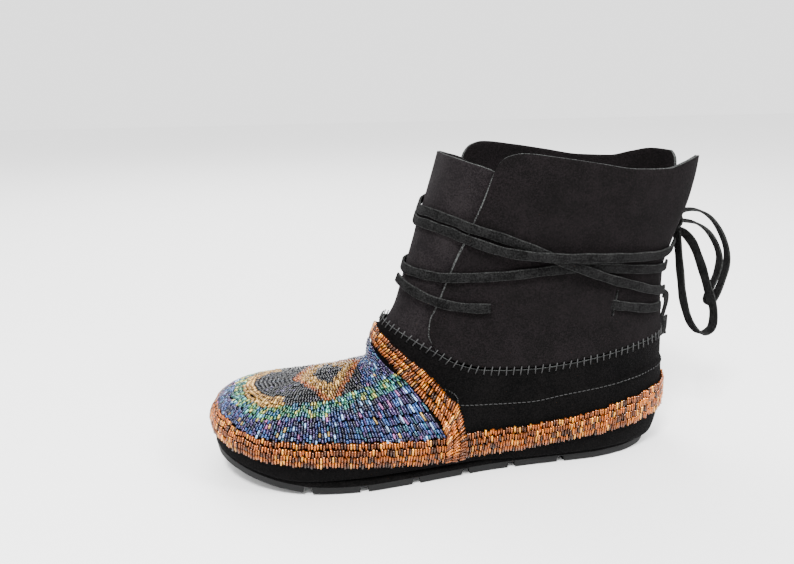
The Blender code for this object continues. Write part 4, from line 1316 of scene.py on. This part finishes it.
# %% Coated glass
def coated_glass(name, rough=0.24, metal=0.72):
    """Glass under a metal film. Each bead keeps its own colour, with a hard line of light."""
    made, tree, surface = new_material(name)
    tint = add(tree, "ShaderNodeAttribute", attribute_name="tint")
    place = add(tree, "ShaderNodeTexCoord").outputs["Object"]
    change = add(tree, "ShaderNodeMapRange", [(noise(tree, place, 1.1, 2.0), "Value")],
                 in_To_Min=0.7, in_To_Max=1.3)
    shade = add(tree, "ShaderNodeVectorMath", [(tint.outputs["Color"], 0), (change.outputs[0], "Scale")],
                operation="SCALE")
    tree.links.new(shade.outputs[0], surface.inputs["Base Color"])
    set_inputs(surface, {
        "Metallic": metal, "Roughness": rough, "IOR": 1.52, "Coat Weight": 0.4, "Coat Roughness": 0.08})
    return made


BRONZE_BEAD = coated_glass("glass_bronze_film")
IRIS_BEAD = coated_glass("glass_oil_slick_film", rough=0.13, metal=0.6)

# %% Bead scatterer
BEAD_SIDES = 8


def bead_tree(name, look):
    """Puts a tube on every point, turned, sized and coloured by the point's own attributes."""
    tree = bpy.data.node_groups.new(name, "GeometryNodeTree")
    tree.interface.new_socket("Geometry", in_out="INPUT", socket_type="NodeSocketGeometry")
    for label in ("Tube length", "Tube width"):
        tree.interface.new_socket(label, in_out="INPUT", socket_type="NodeSocketFloat")
    tree.interface.new_socket("Geometry", in_out="OUTPUT", socket_type="NodeSocketGeometry")
    given = add(tree, "NodeGroupInput")
    half = add(tree, "ShaderNodeMath", [(given.outputs["Tube width"], 0)], operation="MULTIPLY", in_1=0.5)
    tube = add(tree, "GeometryNodeMeshCylinder",
               [(half.outputs[0], "Radius"), (given.outputs["Tube length"], "Depth")], in_Vertices=BEAD_SIDES)
    round_off = add(tree, "GeometryNodeSetShadeSmooth",
                    [(tube.outputs["Mesh"], "Geometry"), (tube.outputs["Side"], "Selection")])
    facing = add(tree, "GeometryNodeInputNamedAttribute", data_type="FLOAT_VECTOR", in_Name="facing")
    stretch = add(tree, "GeometryNodeInputNamedAttribute", data_type="FLOAT_VECTOR", in_Name="stretch")
    turned = add(tree, "FunctionNodeEulerToRotation", [(facing.outputs["Attribute"], "Euler")])
    placed = add(tree, "GeometryNodeInstanceOnPoints", [
        (given.outputs["Geometry"], "Points"), (round_off.outputs[0], "Instance"),
        (turned.outputs[0], "Rotation"), (stretch.outputs["Attribute"], "Scale")])
    real = add(tree, "GeometryNodeRealizeInstances", [(placed.outputs[0], "Geometry")])
    painted = add(tree, "GeometryNodeSetMaterial", [(real.outputs[0], "Geometry")], in_Material=look)
    add(tree, "NodeGroupOutput", [(painted.outputs[0], "Geometry")])
    return tree


def scatter(name, tree, centres, facings, stretches, tints, sizes):
    """Runs a scatter tree over points in millimetres and keeps the result as a plain mesh."""
    mesh = bpy.data.meshes.new(name)
    mesh.from_pydata((np.asarray(centres) / 1000.0).tolist(), [], [])
    mesh.attributes.new("facing", "FLOAT_VECTOR", "POINT").data.foreach_set("vector", np.ravel(facings))
    mesh.attributes.new("stretch", "FLOAT_VECTOR", "POINT").data.foreach_set("vector", np.ravel(stretches))
    mesh.attributes.new("tint", "FLOAT_COLOR", "POINT").data.foreach_set("color", np.ravel(tints))
    made = bpy.data.objects.new(name, mesh)
    bpy.context.scene.collection.objects.link(made)
    scatterer = made.modifiers.new("scatter", "NODES")
    scatterer.node_group = tree
    sockets = {s.name: s.identifier for s in tree.interface.items_tree if s.in_out == "INPUT"}
    for label, value in sizes.items():
        scatterer[sockets[label]] = value
    shown = made.evaluated_get(bpy.context.evaluated_depsgraph_get())
    plain = bpy.data.meshes.new_from_object(shown)
    made.modifiers.clear()
    made.data = plain
    return made


def eulers(long_way, outward):
    """Turns whose own Z runs along each bead and whose X faces out."""
    found = []
    for z, x in zip(long_way, outward):
        z = Vector(z).normalized()
        x = Vector(x)
        x = (x - z * x.dot(z)).normalized()
        y = z.cross(x)
        found.append(tuple(Matrix((x, y, z)).transposed().to_euler()))
    return np.array(found)


# %% Courses of beads
BEAD_LONG, BEAD_WIDE, BEAD_PITCH = 3.1, 1.32, 1.5
SIDE_ERROR, OUT_ERROR, WAY_ERROR = 0.06, 0.10, 0.08  # a sewer's errors in place, in millimetres
NOD = 0.08  # how far an end stands off, as a share of the bead's length
FILL = 0.84  # bead width as a share of the space for it
SEED = 7
rng = np.random.default_rng(SEED)


def along_line(line, count, shift):
    """Places at even steps along a line of points, and the line's own parameter there."""
    run = np.concatenate([[0.0], np.cumsum(np.linalg.norm(np.diff(line, axis=0), axis=1))])
    at = (np.arange(count) + shift) / count * run[-1]
    return np.interp(at, run, np.arange(len(line)))


def read_line(line, at):
    i = np.clip(at.astype(int), 0, len(line) - 2)
    t = (at - i)[:, None]
    return line[i] * (1 - t) + line[i + 1] * t


def course(low_line, high_line, count, shift=0.5, lift=0.0):
    """One course of beads that stand between two lines of guide points on the form."""
    low_skin, low_out = FORM.onto(low_line)
    high_skin, high_out = FORM.onto(high_line)
    at = along_line((low_skin + high_skin) / 2.0, count, shift)
    a, b = read_line(low_skin, at), read_line(high_skin, at)
    out = read_line(low_out, at) + read_line(high_out, at)
    out /= np.linalg.norm(out, axis=1, keepdims=True)
    way = b - a
    size = np.linalg.norm(way, axis=1)
    middle = (a + b) / 2.0
    centre = middle + out * (LAYER_STEP + BEAD_LIFT + BEAD_THICK / 2.0 + lift)
    step = np.linalg.norm(np.roll(middle, -1, axis=0) - np.roll(middle, 1, axis=0), axis=1) / 2.0
    if count > 2:
        step[0], step[-1] = step[1], step[-2]
    return centre, way / size[:, None], out, size, step


def lay(courses, colour_of, tilt=0.08, lane=1, slip=0.35, calm_from=99):
    """Joins courses into scatter input, with small sewing errors in place, turn and length."""
    string_slip, string_tilt = [], []
    for k, part in enumerate(courses):
        if k % lane == 0:
            errors = rng.uniform(-1, 1, (2, len(part[0]) + 400))
        string_slip.append(errors[0, :len(part[0])] * (1.0 if k < calm_from else 0.3))
        string_tilt.append(errors[1, :len(part[0])])
    string_slip, string_tilt = np.concatenate(string_slip)[:, None], np.concatenate(string_tilt)[:, None]
    centre, way, out, size, step = (np.concatenate(part) for part in zip(*courses))
    count = len(centre)
    side = np.cross(out, way)
    centre = (centre + side * rng.normal(0, SIDE_ERROR, (count, 1))
              + out * rng.normal(0, OUT_ERROR, (count, 1)))
    centre = centre + way * (string_slip * slip + rng.normal(0, WAY_ERROR, (count, 1)))
    way = way + side * (string_tilt * tilt * 0.9 + rng.normal(0, tilt * 0.6, (count, 1)))
    way = way + out * rng.normal(0, NOD, (count, 1))
    wide = np.clip(step * FILL / BEAD_WIDE, 0.70, 1.10) * rng.uniform(0.90, 1.04, count)
    length = (size - 0.02) / BEAD_LONG * rng.uniform(0.90, 1.0, count)
    return centre, eulers(way, out), np.stack([wide, wide, length], axis=1), colour_of(centre)


def pick(codes, weights, count):
    """A random bead colour for each bead from a mix of hex codes."""
    table = np.array([linear(c) for c in codes])
    chosen = table[rng.choice(len(codes), count, p=np.array(weights) / sum(weights))]
    bright = rng.uniform(0.55, 1.35, (count, 1))
    return np.concatenate([chosen[:, :3] * bright, chosen[:, 3:]], axis=1)


BRONZE_MIX = (("8a450c", "a85c10", "602e05", "d08c30", "3c1d05", "8f4815"), (5, 4, 4, 2, 3, 2))
SIZES = {"Tube length": BEAD_LONG / 1000.0, "Tube width": BEAD_WIDE / 1000.0}


def bronze(centres):
    return pick(*BRONZE_MIX, len(centres))


# %% Bronze band above the sole
FOXING_COURSES = 4
FOXING_SWELL = 0.45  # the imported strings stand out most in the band's middle
DENSE = 480


def foxing_lines():
    lows, highs = [], []
    for i in range(DENSE + 1):
        _, low, high, _, _, _ = foot_column(*turn(i % DENSE, DENSE))
        lows.append(low)
        highs.append(high)
    return np.array(lows), np.array(highs)


low_line, high_line = foxing_lines()
BEAD_TREE_BRONZE = bead_tree("sewn_bronze_beads", BRONZE_BEAD)
rows = []
perimeter = np.linalg.norm(np.diff(FORM.onto((low_line + high_line) / 2.0)[0], axis=0), axis=1).sum()
for k in range(FOXING_COURSES):
    lower = low_line + (high_line - low_line) * (k / FOXING_COURSES)
    upper_line = low_line + (high_line - low_line) * ((k + 1) / FOXING_COURSES)
    swell = FOXING_SWELL * math.sin(math.pi * (k + 0.5) / FOXING_COURSES)
    rows.append(course(lower, upper_line, int(perimeter / BEAD_PITCH), lift=swell))
sewn = lay(rows, bronze, lane=FOXING_COURSES, slip=0.7)
beads = scatter("foxing_band_beads", BEAD_TREE_BRONZE, *sewn, SIZES)
dress(beads, "bronze_beads", "foxing_beads")

# %% Bronze band over the instep
THROAT_COURSES = 3
THROAT_CORNER = 2.0 * 15 / 56  # the built part ends the band on this column
THROAT_DENSE = 200
CORNER_FRONT, CORNER_BACK = 0.502, 0.541  # ring shares between which it runs down over the first band
CORNER_LIFT, CORNER_RISE, CORNER_SPREAD = 1.4, 2.5, 4.0  # it rides over that band from this far above it


def throat_lines():
    fronts, backs = [], []
    for i in range(THROAT_DENSE + 1):
        share = (2.0 * i / THROAT_DENSE - 1.0) * INSTEP_FRONT[-1][0]
        side = 1.0 if share >= 0 else -1.0
        share = abs(share)
        _, low, high, front, seam, _ = foot_column(share, side)
        fronts.append(front)
        backs.append(seam)
    ends = []
    for side in (-1.0, 1.0):
        _, low, high, _, _, _ = foot_column(CORNER_FRONT, side)
        _, back_low, back_high, _, _, _ = foot_column(CORNER_BACK, side)
        _, _, _, _, seam, _ = foot_column(THROAT_CORNER, side)
        down = np.linspace(0.0, 1.0, 26)[1:, None]
        front_end = high + (low - high) * down
        back_end = np.where(down < 0.5, seam + (back_high - seam) * down * 2.0,
                            back_high + (back_low - back_high) * (down - 0.5) * 2.0)
        ends.append((front_end, back_end))
    fronts = np.concatenate([ends[0][0][::-1], fronts, ends[1][0]])
    backs = np.concatenate([ends[0][1][::-1], backs, ends[1][1]])
    return fronts, backs


front_line, seam_line = throat_lines()
CORNER_TOP = band_height(front_line[0][0], "high") + CORNER_RISE
rows = []
for k in range(THROAT_COURSES):
    lower = front_line + (seam_line - front_line) * (k / THROAT_COURSES)
    upper_line = front_line + (seam_line - front_line) * ((k + 1) / THROAT_COURSES)
    long_way = np.linalg.norm(np.diff(FORM.onto(lower)[0], axis=0), axis=1).sum()
    row = course(lower, upper_line, int(long_way / BEAD_PITCH), shift=rng.uniform(0.3, 0.7))
    over = np.clip((CORNER_TOP - row[0][:, 2]) / CORNER_SPREAD, 0.0, 1.0)
    rows.append((row[0] + row[2] * (over * over * (3.0 - 2.0 * over) * CORNER_LIFT)[:, None], *row[1:]))
beads = scatter("instep_band_beads", BEAD_TREE_BRONZE, *lay(rows, bronze), SIZES)
dress(beads, "bronze_beads", "throat_beads")

# %% [markdown]
# ## The vamp's pattern
#
# The vamp is sewn in lanes. Strings of blue and violet beads stand on the bronze band and lean
# in towards the top of the foot, a green and teal band makes a U inside them, and the middle is
# dark with gold diamonds, a motif that many bead workers share. The lanes follow the foot, and
# the colour of a bead only depends on where it lies, so the motif stays crisp on any lane.

# %% Vamp beads
VAMP_DENSE, VAMP_COURSES, LANE, VAMP_PITCH = 240, 22, 4, 1.45
VAMP_END, RIDGE_GAP = 0.992, 0.15  # where the strings stop, short of the foot's middle line
RIDGE_SPREAD = 2.6  # power that spreads the strings' far ends along that line
# Middle line of the foot from the instep band forward: x, z
TOP_LINE = ((133.4, 68.5), (135.5, 63.0), (139.5, 57.0), (146.0, 52.5), (156.0, 49.5), (168.0, 47.5))
U_BAND = ((118.0, 33.0), (140.0, 36.0), (162.0, 40.0), (183.0, 36.0))
U_TIP = (183.0, 25.0)
MIDDLE_Y = -3.0
# The motif: level inside the U, the toe arc's start and level, the blue behind, and the diamond
U_INSIDE, ARC_START, ARC_LEVEL, BLUE_BEHIND = 0.76, 181.0, 0.50, 139.0
DIAMOND_AT, DIAMOND_HALF, DIAMOND_RINGS = 156.0, (15.5, 31.0), (1.22, 1.0, 0.56)
MOTIF_ERROR = 0.3  # a sewer's error in where a colour starts, in millimetres
# The strings bridge the hollow where the foot turns up into the instep: its middle x, y and its reach
BRIDGE_AT, BRIDGE_SIZE, BRIDGE_LIFT = (141.0, -3.0), (6.0, 15.0), 1.5
# The last strings lie against the instep band, closer the higher they are
THROAT_CLEAR = np.array([-1.6, 0.0, 0.0])


def vamp_lines():
    """Foxing edge, ridge target and throat edge for strings from the inner to the outer side."""
    lines = []
    top_x, top_z = columns(TOP_LINE)
    top_run = np.concatenate([[0.0], np.cumsum(np.hypot(np.diff(top_x), np.diff(top_z)))])
    top_run /= top_run[-1]
    throat = np.array([ring_point(INSTEP_FRONT, s, 1.0) for s in np.linspace(0.5, 0.0, VAMP_COURSES + 1)])
    for i in range(VAMP_DENSE + 1):
        share = 2.0 * i / VAMP_DENSE - 1.0
        side = 1.0 if share >= 0 else -1.0
        reach = abs(share)
        _, _, start, _, _, _ = foot_column(0.5 * reach, side)
        forward = 1.0 - reach ** RIDGE_SPREAD
        target_x, target_z = (np.interp(forward, top_run, part) for part in (top_x, top_z))
        target = np.array([target_x, MIDDLE_Y * (1.0 - reach) + side * RIDGE_GAP, target_z])
        t = np.linspace(0.0, VAMP_END, VAMP_COURSES + 1)[:, None]
        line = start + (target - start) * t
        straight = throat[0] + (throat[-1] - throat[0]) * t
        bend = (throat - straight) * np.array([1.0, side, 1.0])
        line = line + bend * reach ** 3 + THROAT_CLEAR * (0.4 + t + 1.4 * t * t) * reach ** 8
        lines.append(line)
    return np.array(lines)


def vamp_colour(centres):
    x, y = centres[:, 0], centres[:, 1] - MIDDLE_Y
    x = x + rng.normal(0, MOTIF_ERROR, len(x))
    y = np.abs(y + rng.normal(0, MOTIF_ERROR, len(y)))
    at, half = columns(U_BAND)
    level = y / np.interp(x, at, half)
    tip = np.hypot(np.maximum(x - U_TIP[0], 0.0) / U_TIP[1], y / half[-1])
    level = np.where(x > U_TIP[0], tip, level)
    count = len(x)
    blue = pick(("1f2850", "32254c", "11162c", "29487a", "86a6cc", "8a4f80", "1b4456", "96793f"),
                (6, 6, 6, 4, 1.4, 0.9, 1.8, 0.6), count)
    teal = pick(("1c524c", "2f6449", "5a7236", "254e68", "aea452", "15303f", "5cb4a4"),
                (4, 4, 3, 3, 1.5, 2, 1.5), count)
    dark = pick(("0c0d11", "15161c", "120f17", "262a31", "332e44"), (5, 4, 3, 2, 1), count)
    gold = pick(("8c6628", "b48a42", "6c4a1c", "caa662"), (4, 3, 3, 1), count)
    rust = pick(("7c3c16", "98541f", "5c2c10"), (3, 3, 2), count)
    colour = blue
    colour = np.where((level < 1.0)[:, None], teal, colour)
    inside = level < U_INSIDE
    colour = np.where(inside[:, None], dark, colour)
    colour = np.where((inside & (x > ARC_START) & (level > ARC_LEVEL))[:, None], gold, colour)
    colour = np.where((inside & (x < BLUE_BEHIND))[:, None], blue, colour)
    diamond = np.abs(x - DIAMOND_AT) / DIAMOND_HALF[0] + y / DIAMOND_HALF[1]
    rust_edge, gold_edge, dark_edge = DIAMOND_RINGS
    colour = np.where((inside & (diamond < rust_edge) & (diamond > gold_edge))[:, None], rust, colour)
    colour = np.where((inside & (diamond <= gold_edge) & (diamond > dark_edge))[:, None], gold, colour)
    colour = np.where((inside & (diamond <= dark_edge))[:, None], dark, colour)
    return colour


lines = vamp_lines()
rows = []
for k in range(VAMP_COURSES):
    lane = k - k % LANE
    middle = FORM.onto((lines[:, lane] + lines[:, min(lane + LANE, VAMP_COURSES)]) / 2.0)[0]
    long_way = np.linalg.norm(np.diff(middle, axis=0), axis=1).sum()
    row = course(lines[:, k], lines[:, k + 1], max(4, int(long_way / VAMP_PITCH)), lift=0.02 * k)
    near = np.hypot((row[0][:, 0] - BRIDGE_AT[0]) / BRIDGE_SIZE[0],
                    (row[0][:, 1] - BRIDGE_AT[1]) / BRIDGE_SIZE[1])
    rows.append((row[0] + row[2] * (BRIDGE_LIFT * np.exp(-near * near))[:, None], *row[1:]))
sewn = lay(rows, vamp_colour, lane=LANE, slip=0.9, calm_from=2 * LANE)
beads = scatter("vamp_beads_sewn", bead_tree("sewn_vamp_beads", IRIS_BEAD), *sewn, SIZES)
dress(beads, "iris_beads", "vamp_beads")

# %% [markdown]
# ## Stitches
#
# A thick waxed thread is whipped over the collar's lower edge about every 4 mm, and a thin running
# stitch holds the lower quarter's cut edge. Each stitch is one small tube, so the bead
# scatterer places them too, along lines that are read from the boot's own seams.


# %% Thread
def thread(name, dark, light):
    """Twisted waxed polyester. It is grey black with a soft shine on its round back."""
    made, tree, surface = new_material(name)
    place = add(tree, "ShaderNodeTexCoord").outputs["Object"]
    tone = ramp(tree, noise(tree, place, 0.5, 2.0), 0.35, 0.65, dark, light)
    tree.links.new(tone, surface.inputs["Base Color"])
    set_inputs(surface, {"Roughness": 0.6, "IOR": 1.5})
    return made


THREAD = thread("thread_waxed_black", "080808", "131314")
THREAD_TREE = bead_tree("sewn_stitches", THREAD)

# %% Whip stitches and running stitches
WHIP_PITCH, WHIP_LONG, WHIP_WIDE, WHIP_LEAN, WHIP_LIFT = 3.9, 4.6, 0.7, 0.18, 0.45
RUN_PITCH, RUN_LONG, RUN_WIDE, RUN_BELOW, RUN_FROM = 2.6, 1.9, 0.5, 1.8, 0.53
RUN_LIFT = LAYER_STEP + 0.12


def ring_line(table, start, end, count=160):
    return np.array([ring_point(table, s, 1.0) for s in np.linspace(start, end, count)])


def stitches(line, pitch, long, wide, lean, lift, across_seam):
    skin, _ = FORM.onto(line)
    total = np.linalg.norm(np.diff(skin, axis=0), axis=1).sum()
    at = along_line(skin, max(3, int(total / pitch)), 0.5)
    place = read_line(line, at)
    skin, out = FORM.onto(place)
    further = read_line(line, np.minimum(at + 0.5, len(line) - 1.001))
    ahead = further - read_line(line, np.maximum(at - 0.5, 0))
    ahead /= np.linalg.norm(ahead, axis=1, keepdims=True)
    upward = np.cross(out, ahead)
    upward *= np.sign(upward[:, 2:3])
    way = upward + ahead * lean if across_seam else ahead
    way = way + rng.normal(0, 0.05, way.shape)
    count = len(place)
    stretch = np.stack([np.full(count, wide / BEAD_WIDE), np.full(count, wide / BEAD_WIDE),
                        np.full(count, long / BEAD_LONG) * rng.uniform(0.92, 1.08, count)], axis=1)
    centre = skin + out * lift
    return centre, eulers(way, out), stretch, np.tile((1.0, 1.0, 1.0, 1.0), (count, 1))


def both_sides(table, start, end):
    outer_line = ring_line(table, start, end)
    inner_line = outer_line * np.array([1.0, -1.0, 1.0])
    return np.concatenate([inner_line[::-1], outer_line[1:]])


whips = stitches(both_sides(TOPLINE, 0.0, 1.0), WHIP_PITCH, WHIP_LONG, WHIP_WIDE, WHIP_LEAN, WHIP_LIFT, True)
under_edge = both_sides(SEAM, RUN_FROM, 1.0) - np.array([0.0, 0.0, RUN_BELOW])
half = len(under_edge) // 2
outer_run, inner_run = (stitches(part, RUN_PITCH, RUN_LONG, RUN_WIDE, 0.0, RUN_LIFT, False)
                        for part in (under_edge[half:], under_edge[:half]))
sewn = [np.concatenate(parts) for parts in zip(whips, outer_run, inner_run)]
seams = scatter("seam_stitches", THREAD_TREE, *sewn, SIZES)
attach(seams, "root")
print("stitches:", len(sewn[0]))

# %% [markdown]
# ## Floor and light
#
# The photograph has a white paper floor and wide soft light from above, with one shadow close
# under the sole. A bright even sky and three large panels give that.

# %% Floor
paper, _, surface = new_material("paper_matt_white")
set_inputs(surface, {"Base Color": linear("f4f4f4"), "Roughness": 0.9})
floor = mesh_object("floor", [(-3000, -3000, 0), (3000, -3000, 0), (3000, 3000, 0), (-3000, 3000, 0)],
                    [(0, 1, 2, 3)], paper, smooth=False)
floor.location.z = -0.0002

# %% Light


def panel(name, place, size, power, colour="ffffff"):
    """A soft square lamp that looks at the boot."""
    data = bpy.data.lights.new(name, "AREA")
    data.size = size
    data.energy = power
    data.color = linear(colour)[:3]
    made = bpy.data.objects.new(name, data)
    made.location = place
    aim = Vector((0.06, 0.0, 0.06)) - Vector(place)
    made.rotation_euler = aim.to_track_quat("-Z", "Y").to_euler()
    bpy.context.scene.collection.objects.link(made)
    return made


panel("key_panel", (0.45, 0.75, 1.2), 0.30, 40.0)
panel("fill_panel", (-0.8, 0.7, 1.0), 0.35, 18.0)
panel("back_panel", (0.2, -0.9, 1.1), 0.8, 18.0)
world = bpy.data.worlds.new("studio")
world.use_nodes = True
set_inputs(world.node_tree.nodes["Background"], {"Color": (1.0, 1.0, 1.0, 1.0), "Strength": 2.1})
bpy.context.scene.world = world
